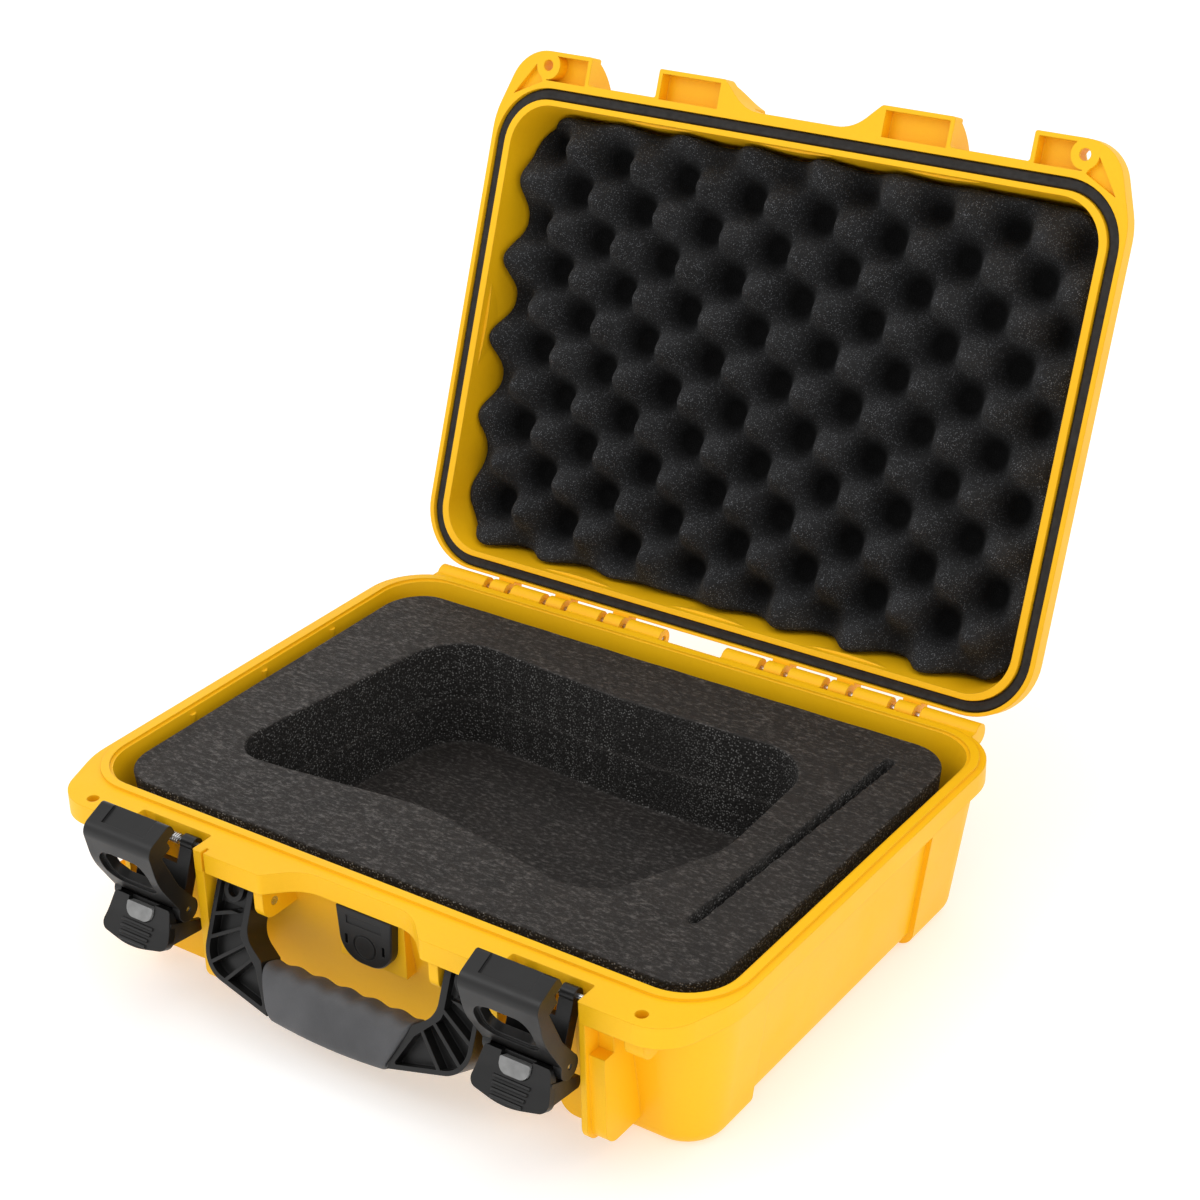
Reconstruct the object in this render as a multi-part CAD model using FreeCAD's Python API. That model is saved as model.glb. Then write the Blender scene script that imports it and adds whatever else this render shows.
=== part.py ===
import FreeCAD, Part
import math
import os

V = FreeCAD.Vector
os.makedirs("parts", exist_ok=True)

# Frame: X along the front, Y from the front to the hinge, Z up, feet on Z = 0, millimetres.

# Base shell
RIM_Z = 98.0                # parting plane above the feet
FOOT_H = 3.0                # how far the corner posts stand below the floor
WALL = 3.0
FLOOR = 3.5
BOTTOM_HALF_X = 191.0
BOTTOM_HALF_Y = 134.4
TOP_HALF_X = 204.5
TOP_HALF_Y = 147.5
BOTTOM_CORNER_R = 22.0
TOP_CORNER_R = 34.0
BOTTOM_EDGE_R = 9.0
POST_STEP = 3.0             # corner posts stand proud of the middle of the walls
POST_X = 150.0              # posts reach inwards to this half length
POST_FRONT_Y = -90.0
POST_REAR_Y = 78.0

# Flange of base and lid
FLANGE_HALF_X = 212.0
FLANGE_FRONT_Y = -173.0
FLANGE_REAR_Y = 152.5
FLANGE_H = 12.0
NARROW_Y = -157.0           # front edge between the blocks
NECK_X = 36.0
NECK_R = 26.0
BLOCK_X = 52.5
BLOCK_R = 4.0
POCKET_IN = 98.6
POCKET_OUT = 147.5
POCKET_BACK = -157.2
POCKET_R = 1.5
EAR_X = 197.0
EAR_R = 26.0
EAR_SIDE_Y = -130.0
EAR_SIDE_R = 50.0
REAR_CORNER_R = 38.0
PADLOCK_X = 178.7
PADLOCK_Y = -164.2
PADLOCK_R = 3.4

# Seal line
SEAL_OUT_X = 1.0            # seal line outside the tub's end walls
SEAL_OUT_Y = -0.1
SEAL_CORNER_R = 33.0
TONGUE_W = 5.0
TONGUE_H = 1.6
GROOVE_W = 7.0
GROOVE_DEPTH = 6.0
GASKET_H = 3.7
GASKET_R = 1.6
SOFT_CLEAR = 0.3            # room round soft pieces

# Front of the base
PILLAR_BOTTOM_Z = 13.0
PILLAR_END_R = 10.0
PILLAR_FRONT_Y = -169.0
OUTER_PILLAR_W = 12.5
PILLAR_RECESS = 8.0
PILLAR_RECESS_LOW_Z = 66.0
LOBE_FRONT_Y = -147.5        # thick feet of the wall in the latch pockets
LOBE_LOW_Z = 4.0
LOBE_R = 10.0
LOBE_IN_W = 14.4
LOBE_OUT_W = 31.0
FIN_GAP = 2.0                # slot between the pocket's fin and the block
FIN_GAP_DEPTH = 5.0
INNER_PILLAR_W = 6.0
CHEEK_W = 3.5
CHEEK_FRONT_Y = -172.0
POCKET_RIB_W = 3.0
POCKET_RIB_X = 9.0
POCKET_RIB_FRONT_Y = -151.0
POCKET_RIB_LOW_Z = 40.0
STRAP_LUG_X = 171.0
STRAP_LUG_W = 11.0
LUG_ROUND = 0.9             # corner radius of a lug as a share of its own radius
STRAP_LUG_R = 8.0
STRAP_Y = -160.0
STRAP_Z = 80.0
STRAP_R = 2.0
NUB_R = 2.5
NUB_H = 9.0
NUB_PITCH = 62.0

# Lid shell, drawn closed
RIM_GAP = 0.3               # lid rim above the base rim when closed
LID_H = 52.0
LID_TOP_HALF_X = 195.0
LID_TOP_HALF_Y = 138.0
LID_TOP_CORNER_R = 30.0
LID_EDGE_R = 10.0
LID_TOP = 3.0
LID_FLANGE_H = 10.0
LIP_IN = 7.0                # lip of the lid inside the tub's top outline
LIP_CORNER_R = 27.0
LID_INNER_DRAFT = 6.0       # how much narrower the cavity is at the top
GUSSET_H = 31.0
GUSSET_FOOT_H = 4.0
GUSSET_MID_Y = -167.8
GUSSET_MID_H = 14.0
GUSSET_ROOT_Y = -148.0
GUSSET_OUT_X = 172.0
LATCH_LEDGE_H = 7.3         # lid rim under the latch hook
LEDGE_BACK_Y = -155.8
RECESS_WALL = 2.6
RECESS_DEPTH = 9.0
BOSS_R = 8.5
RECESS_BACK_Y = -155.2
EAR_POCKET_OUT = 4.0         # corner hollow of the ear
EAR_POCKET_LONG = 20.0
EAR_POCKET_WIDE = 10.0
BULGE_R = 260.0
BULGE_DEPTH = 2.0
BULGE_PITCH = 96.0
BULGE_LOW = 5.0
BULGE_HIGH = 24.0
LID_OPEN_DEG = 110.2

# Hinge
HINGE_Y = 159.3
HINGE_DROP = 3.35           # hinge axis below the parting plane
KNUCKLE_R = 6.2
PIN_R = 2.0
PIN_CLEAR = 0.05
LID_KNUCKLE_X = 57.0
KNUCKLE_PITCH = 43.4
LID_KNUCKLE_W = 11.8
KNUCKLE_GAP = 4.4
LID_KNUCKLES = 3
KNUCKLE_IN = 22.0
KNUCKLE_OUT = 190.0
KNUCKLE_WEB_H = 9.0
PIN_INSET = 3.0

# Handle
HANDLE_Y = -160.5
HANDLE_Z = 75.0
HANDLE_PIN_R = 2.5
HANDLE_LEAN_DEG = 22.0
LUG_IN = 54.5
LUG_OUT = 60.5
LUG_R = 9.0
HANDLE_ARM_IN = 63.0
HANDLE_HALF_X = 88.0
HANDLE_DEPTH = 16.0
HANDLE_TOP = 8.0            # arm end above the pin
HANDLE_DROP = 60.0          # lowest point below the pin
HANDLE_GRIP_H = 26.0
HANDLE_INNER_X = 46.0       # half length of the upper side of the grip
HANDLE_SHOULDER = 22.0      # where the arms begin to sweep in
HANDLE_LOW_R = 18.0         # lower outer corner
HANDLE_SIDE_UP = 14.0       # that corner above the lowest point, the underside is bowed
HANDLE_FLAT_X = 30.0
HANDLE_BOW_R = 80.0
HANDLE_END_R = 6.0
HANDLE_TIP_R = 2.0
HANDLE_BEND_R = 14.0
HANDLE_FOOT_R = 12.0
HANDLE_WALL = 2.6
HANDLE_TUBE = 4.0           # thicker inner wall of the arms
HANDLE_TUBE_R = 8.0
HANDLE_WEB = 3.0
HANDLE_RIB_T = 2.0
HANDLE_RIBS = 4
HANDLE_RIB_DEG = 21.0       # slope of the first rib, all ribs fan out from one point
HANDLE_RIB_STEP_DEG = 9.0
HANDLE_FAN_X = 19.0
HANDLE_FAN_UP = 9.6
HANDLE_END_DEPTH = 4.0      # hollow round the pin, with a U-shaped wall in it
HANDLE_U_R = 6.5
HANDLE_U_T = 2.8
GRIP_HALF_X = 50.0
GRIP_LOW_HALF_X = 38.0      # the sleeve is shorter along its lower side
GRIP_T = 2.6
GRIP_R = 7.0
GRIP_BUMPS = 5
GRIP_BUMP_R = 10.0
GRIP_BUMP_H = 1.6
GRIP_BUMP_PITCH = 17.0

# Pressure valve
VALVE_HALF_X = 18.5
VALVE_TOP_Z = 82.5
VALVE_LOW_Z = 50.5
VALVE_T = 6.0
VALVE_TAPER = 0.88          # width at the foot over the width at the top
VALVE_ROUND = 0.8
VALVE_SLOT_X = 12.2
VALVE_SLOT_HALF = 0.9
VALVE_SLOT_L = 6.0
VALVE_SLOT_DEPTH = 2.0
VALVE_LABEL_HALF_X = 11.5
VALVE_LABEL_HIGH = 4.0       # plain sunk field below the top edge
VALVE_LABEL_LOW = 9.0
VALVE_LABEL_DEPTH = 0.6
VALVE_CHAMFER = 0.8
VALVE_RING_Z = 62.0
VALVE_RING_R = 7.6
VALVE_RING_W = 1.3
VALVE_RING_DEPTH = 0.7
VALVE_BOSS_FRONT_Y = -148.2
VALVE_BOSS_MARGIN = 3.5
VALVE_STEM_R = 7.0
VALVE_STEM_L = 9.0
VALVE_BORE_R = 4.5
VALVE_SEAL_R = 10.0
VALVE_SEAL_WIRE_R = 1.2
VALVE_MEMBRANE_T = 1.5
VALVE_FIT = 0.05

# Foam
FOAM_DROP = 1.5             # base foam below the rim
FOAM_GAP_X = 9.0            # between foam and wall at the top
FOAM_GAP_Y = 12.5
FOAM_CENTRE_Y = -3.0
FOAM_CORNER_R = 26.0
FOAM_FLOOR_GAP_X = 3.5      # between foam and wall at the floor
FOAM_FLOOR_GAP_Y = 7.4
FOAM_SPLIT_Z = 58.0
FOAM_POCKET_Z = 28.0
FOAM_FLOOR_CLEAR = 0.5
SLIT_W = 6.0
SLIT_FRONT_RIM = 37.0       # foam right of the slit at its front end
SLIT_REAR_RIM = 29.0
SLIT_FRONT_IN = 52.0
SLIT_REAR_IN = 27.0
POCKET_LEFT_RIM = 35.5      # foam left of the pocket
POCKET_RIGHT_RIM = 58.5
POCKET_FRONT_RIM = 39.0
POCKET_REAR_RIM = 35.0
POCKET_LEFT_IN = 12.0       # left front corner behind the right one
POCKET_LEFT_LEAN = 25.0     # left side leans in towards the rear
POCKET_FRONT_FLAT = 49.0
POCKET_FRONT_RISE = 16.0
POCKET_WAIST_X = -20.0
POCKET_WAIST = 26.0
POCKET_RIGHT_IN = 34.0
POCKET_RIGHT_BELLY = 76.0
POCKET_RIGHT_LEAN = 4.0
POCKET_REAR_DROP = 10.0
POCKET_REAR_WAIST = 12.0
POCKET_SMALL_R = 20.0
POCKET_CORNER_R = 34.0
POCKET_BEND_R = 60.0
POCKET_WAIST_R = 120.0
LID_FOAM_GAP = 8.5          # between lid foam and lip
LID_FOAM_CORNER_R = 20.0
LID_FOAM_SLAB = 15.0
LID_FOAM_TIP = 2.2          # peaks above the lid rim
PEAK_PITCH_X = 48.6
PEAK_PITCH_Y = 25.2
PEAK_FOOT_R = 17.0
PEAK_SHOULDER_R = 13.0
PEAK_SHOULDER_H = 10.0
PEAK_TIP_R = 6.0

# Latch, drawn closed; its middle plane is halfway between the pocket's sides
ROD_Y = -162.0
ROD_Z = 92.0
ROD_R = 1.5
ROD_SEAT = 4.5              # how far the rod enters each side of the pocket
CLAW_PIN_Y = -167.0
CLAW_PIN_Z = 59.0
CLAW_PIN_R = 1.5
LEVER_OPEN_DEG = 22.0
CLAW_OPEN_DEG = 46.0
CLAW_HALF_X = 23.5
CLAW_CHEEK = 5.0
CLAW_FRONT_Y = -171.5
CLAW_PLATE = 5.0
CLAW_PLATE_LOW_Z = 63.8
CLAW_BARREL_R = 7.0
CLAW_CHEEK_BACK_Y = -164.4
CLAW_BELLY_Y = -174.8
CLAW_BELLY_Z = 90.0
CLAW_BELLY_R = 45.0
CLAW_CROWN_Y = -169.8
CLAW_CROWN_R = 7.0
CLAW_TOP_Z = 113.0
CLAW_TOP_DENT = 1.2
CLAW_TOP_DENT_HALF_X = 15.0
CLAW_BAR_LOW_Z = 101.0
CLAW_HOOK_Y = -149.8
HOOK_CLEAR = 0.4
CLAW_WINDOW_HALF_X = 15.0
CLAW_WINDOW_LOW_Z = 77.0
CLAW_WINDOW_HIGH_Z = 98.4
CLAW_WINDOW_RIM = 2.4        # wider step at the front of the window
CLAW_WINDOW_R = 7.0
LEVER_HALF_X = 17.5
LEVER_ARM = 7.0
LEVER_TOP_R = 4.2
LEVER_WINDOW_HALF_X = 9.0
LEVER_WINDOW_LOW_Z = 80.0
LEVER_KNUCKLE_R = 4.0
LEVER_WAIST_LOW_Z = 46.0
LEVER_WAIST_HIGH_Z = 57.0
PADDLE_FRONT_Y = -177.4
PADDLE = 5.0
PADDLE_TOP_Z = 58.0
PADDLE_LOW_Z = 32.0
PADDLE_TOP_HALF_X = 19.5
PADDLE_HALF_X = 24.0
PADDLE_BEND_Z = 46.0
PADDLE_BEND_R = 30.0
PADDLE_LIP = 3.0             # how far the lower edge stands out
PADDLE_CROWN_R = 50.0
SKIRT_IN = 18.5              # side skirts of the paddle
SKIRT_OUT = 21.5
SKIRT_TOP_Z = 51.2
SKIRT_LOW_Z = 38.0
SKIRT_REAR_LOW_Z = 45.0
SKIRT_BACK_Y = -150.5
SKIRT_R = 2.0
PADDLE_CROWN = 5.0           # how far the lower edge bows down
PADDLE_CORNER_R = 5.0
BARREL_CLEAR = 0.6
PADDLE_RIDGES = 4
PADDLE_RIDGE_PITCH = 3.2
PADDLE_RIDGE_R = 1.0
PADDLE_RIDGE_HALF_X = 11.0
LOCK_HALF_X = 9.0
LOCK_LOW_Z = 47.6
LOCK_TOP_Z = 56.0
LOCK_PROUD = 1.2
LOCK_DEPTH = 3.2
LOCK_TRAVEL = 3.0
LOCK_CLEAR = 0.35
SPRING_MEAN_R = 2.5
SPRING_WIRE_R = 0.45
SPRING_PITCH = 1.5
SPRING_TURNS = 8

# Derived places
LID_Z = RIM_Z + RIM_GAP
HINGE_Z = RIM_Z - HINGE_DROP
LATCH_X = (POCKET_IN + POCKET_OUT) / 2
SEAL_HALF_X = TOP_HALF_X + SEAL_OUT_X
SEAL_HALF_Y = TOP_HALF_Y + SEAL_OUT_Y
LIP_HALF_X = TOP_HALF_X - LIP_IN
LIP_HALF_Y = TOP_HALF_Y - LIP_IN
FOAM_HALF_X = TOP_HALF_X - WALL - FOAM_GAP_X
FOAM_HALF_Y = TOP_HALF_Y - WALL - FOAM_GAP_Y
FOAM_TAPER_X = TOP_HALF_X - BOTTOM_HALF_X + FOAM_FLOOR_GAP_X - FOAM_GAP_X
FOAM_TAPER_Y = TOP_HALF_Y - BOTTOM_HALF_Y + FOAM_FLOOR_GAP_Y - FOAM_GAP_Y
LID_FOAM_HALF_X = LIP_HALF_X - LID_FOAM_GAP
LID_FOAM_HALF_Y = LIP_HALF_Y - LID_FOAM_GAP
FOAM_FRONT_Y = FOAM_CENTRE_Y - FOAM_HALF_Y
FOAM_REAR_Y = FOAM_CENTRE_Y + FOAM_HALF_Y
SLOPE_X = (TOP_HALF_X - BOTTOM_HALF_X) / (RIM_Z - FOOT_H)
SLOPE_Y = (TOP_HALF_Y - BOTTOM_HALF_Y) / (RIM_Z - FOOT_H)
FLANGE_LOW_Z = RIM_Z - FLANGE_H
FAR = 400.0                 # longer than any piece, for cutting tools
X_AXIS = V(1, 0, 0)
Y_AXIS = V(0, 1, 0)
Z_AXIS = V(0, 0, 1)


# Shape helpers

def box(x0, x1, y0, y1, z0, z1):
    """Box between two corners given in any order."""
    low = V(min(x0, x1), min(y0, y1), min(z0, z1))
    return Part.makeBox(abs(x1 - x0), abs(y1 - y0), abs(z1 - z0), low)


def rod_x(r, x0, x1, y, z):
    """Cylinder along X."""
    return Part.makeCylinder(r, x1 - x0, V(x0, y, z), X_AXIS)


def rounded_wire(corners):
    """Closed wire through corners (point, radius), each corner an arc tangent to both sides."""
    starts = []
    for i, (p, r) in enumerate(corners):
        if r <= 0:
            starts.append((p, None, p))
            continue
        a = (corners[i - 1][0] - p).normalize()
        b = (corners[(i + 1) % len(corners)][0] - p).normalize()
        half = math.acos(max(-1.0, min(1.0, a.dot(b)))) / 2
        reach = r / math.tan(half)
        bisector = (a + b).normalize()
        middle = p + bisector * (r / math.sin(half) - r)
        starts.append((p + a * reach, middle, p + b * reach))
    edges = []
    for i, (first, middle, last) in enumerate(starts):
        before = starts[i - 1][2]
        if (before - first).Length > 1e-6:
            edges.append(Part.LineSegment(before, first).toShape())
        if middle is not None:
            edges.append(Part.Arc(first, middle, last).toShape())
    return Part.Wire(edges)


def rounded_rect(half_x, half_y, r, z, centre_y=0.0):
    """Rounded rectangle about the Z axis."""
    signs = ((-1, -1), (1, -1), (1, 1), (-1, 1))
    return rounded_wire([(V(sx * half_x, centre_y + sy * half_y, z), r) for sx, sy in signs])


def prism(wire, height):
    """Solid over a flat closed wire, upwards."""
    return Part.Face(wire).extrude(Z_AXIS * height)


def slab_x(points, x0, x1):
    """Solid with a side profile of (y, z, radius) corners, from x0 to x1."""
    wire = rounded_wire([(V(x0, y, z), r) for y, z, r in points])
    return Part.Face(wire).extrude(X_AXIS * (x1 - x0))


def tapered(bottom, top):
    """Solid between two wires with straight sides."""
    return Part.makeLoft([bottom, top], True, True)


def fuse(shapes):
    """One solid from overlapping shapes, with split faces joined again."""
    first = shapes[0]
    return first.multiFuse(shapes[1:]).removeSplitter()


def mirrored(shape):
    """Copy on the other side of the case."""
    return shape.mirror(V(0, 0, 0), X_AXIS)


def both_sides(shapes):
    """The shapes and their mirror images."""
    return list(shapes) + [mirrored(s) for s in shapes]


def edges_at_height(shape, z, tolerance=0.01):
    """Edges that lie in a level plane."""
    return [e for e in shape.Edges
            if abs(e.BoundBox.ZMin - z) < tolerance and abs(e.BoundBox.ZMax - z) < tolerance]


def rounded_edge(shape, z, r):
    """Shape with its level outline at one height rounded."""
    return shape.makeFillet(r, edges_at_height(shape, z))


# Outline shared by both flanges

def flange_outline(z, pocket_back):
    """Flange seen from above: blocks, latch pockets, corner ears and rounded rear corners."""
    half = [
        (NECK_X, NARROW_Y, NECK_R),
        (BLOCK_X, FLANGE_FRONT_Y, BLOCK_R),
        (POCKET_IN, FLANGE_FRONT_Y, POCKET_R),
        (POCKET_IN, pocket_back, POCKET_R),
        (POCKET_OUT, pocket_back, POCKET_R),
        (POCKET_OUT, FLANGE_FRONT_Y, POCKET_R),
        (EAR_X, FLANGE_FRONT_Y, EAR_R),
        (FLANGE_HALF_X, EAR_SIDE_Y, EAR_SIDE_R),
        (FLANGE_HALF_X, FLANGE_REAR_Y, REAR_CORNER_R),
    ]
    right = [(V(x, y, z), r) for x, y, r in half]
    left = [(V(-x, y, z), r) for x, y, r in reversed(half)]
    return rounded_wire(right + left)


def seal_ring(width, z, height):
    """Ring of a given width that follows the seal line."""
    out = rounded_rect(SEAL_HALF_X + width / 2, SEAL_HALF_Y + width / 2, SEAL_CORNER_R + width / 2, z)
    inn = rounded_rect(SEAL_HALF_X - width / 2, SEAL_HALF_Y - width / 2, SEAL_CORNER_R - width / 2, z)
    return prism(out, height).cut(prism(inn, height))


# Hinge knuckles

def lid_knuckle_spans():
    """X spans of the lid's knuckles on the right hand side."""
    middles = [LID_KNUCKLE_X + i * KNUCKLE_PITCH for i in range(LID_KNUCKLES)]
    return [(m - LID_KNUCKLE_W / 2, m + LID_KNUCKLE_W / 2) for m in middles]


def base_knuckle_spans():
    """X spans of the base's knuckles, between and outside the lid's."""
    starts = [KNUCKLE_IN] + [b + KNUCKLE_GAP for a, b in lid_knuckle_spans()]
    ends = [a - KNUCKLE_GAP for a, b in lid_knuckle_spans()] + [KNUCKLE_OUT]
    return list(zip(starts, ends))


def knuckle(x0, x1, web_low, web_high):
    """Barrel round the hinge axis with a web to the flange."""
    barrel = rod_x(KNUCKLE_R, x0, x1, HINGE_Y, HINGE_Z)
    web = box(x0, x1, FLANGE_REAR_Y - WALL, HINGE_Y, web_low, web_high)
    return barrel.fuse(web)


def hinge_bore(x0, x1):
    """Hole for the hinge pin through a knuckle."""
    return rod_x(PIN_R + PIN_CLEAR, x0, x1, HINGE_Y, HINGE_Z)


# Base shell

def corner_posts():
    """Four raised corners that run down into feet."""
    low = rounded_rect(BOTTOM_HALF_X - SLOPE_X * FOOT_H + POST_STEP,
                       BOTTOM_HALF_Y - SLOPE_Y * FOOT_H + POST_STEP, BOTTOM_CORNER_R, 0)
    high = rounded_rect(TOP_HALF_X + POST_STEP, TOP_HALF_Y + POST_STEP, TOP_CORNER_R, RIM_Z)
    block = rounded_edge(tapered(low, high), 0, BOTTOM_EDGE_R)
    front = box(POST_X, FAR, POST_FRONT_Y, -FAR, -1, FLANGE_LOW_Z)
    rear = box(POST_X, FAR, POST_REAR_Y, FAR, -1, FLANGE_LOW_Z)
    return both_sides([block.common(front), block.common(rear)])


def pillars():
    """Columns at each side of the latch pockets, with rounded lower ends."""
    def column(x0, x1, front):
        """Column from the pillar's lower end to the flange."""
        return slab_x([(front, PILLAR_BOTTOM_Z, PILLAR_END_R), (-BOTTOM_HALF_Y, PILLAR_BOTTOM_Z, 0),
                       (-BOTTOM_HALF_Y, FLANGE_LOW_Z + 1, 0), (front, FLANGE_LOW_Z + 1, 0)], x0, x1)
    outer = column(POCKET_OUT, POCKET_OUT + OUTER_PILLAR_W, PILLAR_FRONT_Y)
    recess_back = PILLAR_FRONT_Y + PILLAR_RECESS
    outer = outer.cut(box(POCKET_OUT + CHEEK_W, FAR, -FAR, recess_back, PILLAR_RECESS_LOW_Z, FLANGE_LOW_Z))
    cheek = column(POCKET_OUT, POCKET_OUT + CHEEK_W, CHEEK_FRONT_Y)
    inner = column(POCKET_IN - INNER_PILLAR_W, POCKET_IN, CHEEK_FRONT_Y)
    return both_sides([outer, cheek, inner])


def pocket_lobes():
    """Thick lower parts of the wall at both sides of each latch pocket, their free corners rounded."""
    lobes = []
    for wall_x, free_x in ((POCKET_IN, POCKET_IN + LOBE_IN_W), (POCKET_OUT, POCKET_OUT - LOBE_OUT_W)):
        corners = [(V(wall_x, LOBE_FRONT_Y, LOBE_LOW_Z), 0), (V(free_x, LOBE_FRONT_Y, LOBE_LOW_Z), LOBE_R),
                   (V(free_x, LOBE_FRONT_Y, FLANGE_LOW_Z + 1), 0), (V(wall_x, LOBE_FRONT_Y, FLANGE_LOW_Z + 1), 0)]
        depth = -BOTTOM_HALF_Y + WALL / 2 - LOBE_FRONT_Y
        lobes.append(Part.Face(rounded_wire(corners)).extrude(Y_AXIS * depth))
    return both_sides(lobes)


def pocket_ribs():
    """Two upright ribs on the wall behind each latch."""
    ribs = []
    for side in (-1, 1):
        x = LATCH_X + side * POCKET_RIB_X
        ribs.append(box(x - POCKET_RIB_W / 2, x + POCKET_RIB_W / 2, POCKET_RIB_FRONT_Y, -BOTTOM_HALF_Y,
                        POCKET_RIB_LOW_Z, FLANGE_LOW_Z + 1))
    return both_sides(ribs)


def front_lugs():
    """Handle lugs under the blocks and strap lugs under the ears."""
    back = -BOTTOM_HALF_Y
    top = FLANGE_LOW_Z + 1
    handle = slab_x([(HANDLE_Y - LUG_R, top, 0), (HANDLE_Y - LUG_R, HANDLE_Z - LUG_R, LUG_R * LUG_ROUND),
                     (HANDLE_Y + LUG_R, HANDLE_Z - LUG_R, 0), (back, HANDLE_Z - LUG_R, 0), (back, top, 0)],
                    LUG_IN, LUG_OUT)
    strap = slab_x([(STRAP_Y - STRAP_LUG_R, top, 0),
                    (STRAP_Y - STRAP_LUG_R, STRAP_Z - STRAP_LUG_R, STRAP_LUG_R * LUG_ROUND),
                    (STRAP_Y + STRAP_LUG_R, STRAP_Z - STRAP_LUG_R, STRAP_LUG_R * LUG_ROUND),
                    (STRAP_Y + STRAP_LUG_R, top, 0)], STRAP_LUG_X, STRAP_LUG_X + STRAP_LUG_W)
    return both_sides([handle, strap])


def valve_seat():
    """Flat boss on the front wall for the pressure valve."""
    half = VALVE_HALF_X + VALVE_BOSS_MARGIN
    return box(-half, half, VALVE_BOSS_FRONT_Y, -BOTTOM_HALF_Y, VALVE_LOW_Z - VALVE_BOSS_MARGIN, FLANGE_LOW_Z + 1)


def base_shell():
    """Tub with flange, posts, pillars, lugs and hinge knuckles, in one moulding."""
    low = rounded_rect(BOTTOM_HALF_X, BOTTOM_HALF_Y, BOTTOM_CORNER_R, FOOT_H)
    high = rounded_rect(TOP_HALF_X, TOP_HALF_Y, TOP_CORNER_R, RIM_Z)
    tub = rounded_edge(tapered(low, high), FOOT_H, BOTTOM_EDGE_R)
    flange = prism(flange_outline(FLANGE_LOW_Z, POCKET_BACK), FLANGE_H)
    body = [tub, flange, seal_ring(TONGUE_W, RIM_Z - 1, TONGUE_H + 1), valve_seat()]
    body += corner_posts() + pillars() + pocket_lobes() + pocket_ribs() + front_lugs()
    knuckles = [knuckle(a, b, HINGE_Z - KNUCKLE_R + 1, RIM_Z) for a, b in base_knuckle_spans()]
    shell = fuse(body + both_sides(knuckles))
    floor_z = FOOT_H + FLOOR
    inner_low = rounded_rect(BOTTOM_HALF_X - WALL, BOTTOM_HALF_Y - WALL, BOTTOM_CORNER_R - WALL, floor_z)
    inner_high = rounded_rect(TOP_HALF_X - WALL, TOP_HALF_Y - WALL, TOP_CORNER_R - WALL, RIM_Z + TONGUE_H)
    cuts = [tapered(inner_low, inner_high)]
    x_out = POCKET_OUT + ROD_SEAT
    holes = [Part.makeCylinder(PADLOCK_R, FLANGE_H + 2, V(PADLOCK_X, PADLOCK_Y, FLANGE_LOW_Z - 1), Z_AXIS),
             rod_x(STRAP_R, STRAP_LUG_X - 1, STRAP_LUG_X + STRAP_LUG_W + 1, STRAP_Y, STRAP_Z),
             rod_x(HANDLE_PIN_R + PIN_CLEAR, LUG_IN - 1, POCKET_IN - INNER_PILLAR_W / 2, HANDLE_Y, HANDLE_Z),
             rod_x(ROD_R + PIN_CLEAR, POCKET_IN - ROD_SEAT, x_out, ROD_Y, ROD_Z),
             hinge_bore(KNUCKLE_IN - 1, KNUCKLE_OUT - PIN_INSET),
             box(POCKET_IN - INNER_PILLAR_W - FIN_GAP, POCKET_IN - INNER_PILLAR_W, FLANGE_FRONT_Y - 1,
                 FLANGE_FRONT_Y + FIN_GAP_DEPTH, FLANGE_LOW_Z - 1, RIM_Z + 1)]
    cuts += both_sides(holes)
    stem = (VALVE_TOP_Z + VALVE_LOW_Z) / 2
    cuts.append(Part.makeCylinder(VALVE_STEM_R + VALVE_FIT, -VALVE_BOSS_FRONT_Y - BOTTOM_HALF_Y + WALL + 2,
                                  V(0, VALVE_BOSS_FRONT_Y - 1, stem), Y_AXIS))
    shell = shell.cut(Part.makeCompound(cuts))
    nubs = []
    for step in (-1, 0, 1):
        nubs.append(Part.makeCylinder(NUB_R, NUB_H, V(TOP_HALF_X - WALL, step * NUB_PITCH, FLANGE_LOW_Z), Z_AXIS))
    return fuse([shell] + both_sides(nubs))


# Lid shell

def gussets():
    """Curved brackets that carry the lid's ears and blocks."""
    tall = prism(flange_outline(LID_Z, LEDGE_BACK_Y), GUSSET_H)
    start = V(-FAR, FLANGE_FRONT_Y, LID_Z + GUSSET_FOOT_H)
    middle = V(-FAR, GUSSET_MID_Y, LID_Z + GUSSET_MID_H)
    end = V(-FAR, GUSSET_ROOT_Y, LID_Z + GUSSET_H)
    corner = V(-FAR, -LID_TOP_HALF_Y, LID_Z + GUSSET_H)
    root = V(-FAR, -LID_TOP_HALF_Y, LID_Z)
    foot = V(-FAR, FLANGE_FRONT_Y, LID_Z)
    edges = [Part.LineSegment(foot, start).toShape(), Part.Arc(start, middle, end).toShape(),
             Part.LineSegment(end, corner).toShape(), Part.LineSegment(corner, root).toShape(),
             Part.LineSegment(root, foot).toShape()]
    curve = Part.Face(Part.Wire(edges)).extrude(X_AXIS * (2 * FAR))
    inner = box(NECK_X, POCKET_IN, -FAR, 0, LID_Z, LID_Z + GUSSET_H)
    outer = box(POCKET_OUT, GUSSET_OUT_X, -FAR, 0, LID_Z, LID_Z + GUSSET_H)
    curved = tall.common(curve)
    return both_sides([curved.common(inner), curved.common(outer)])


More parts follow.
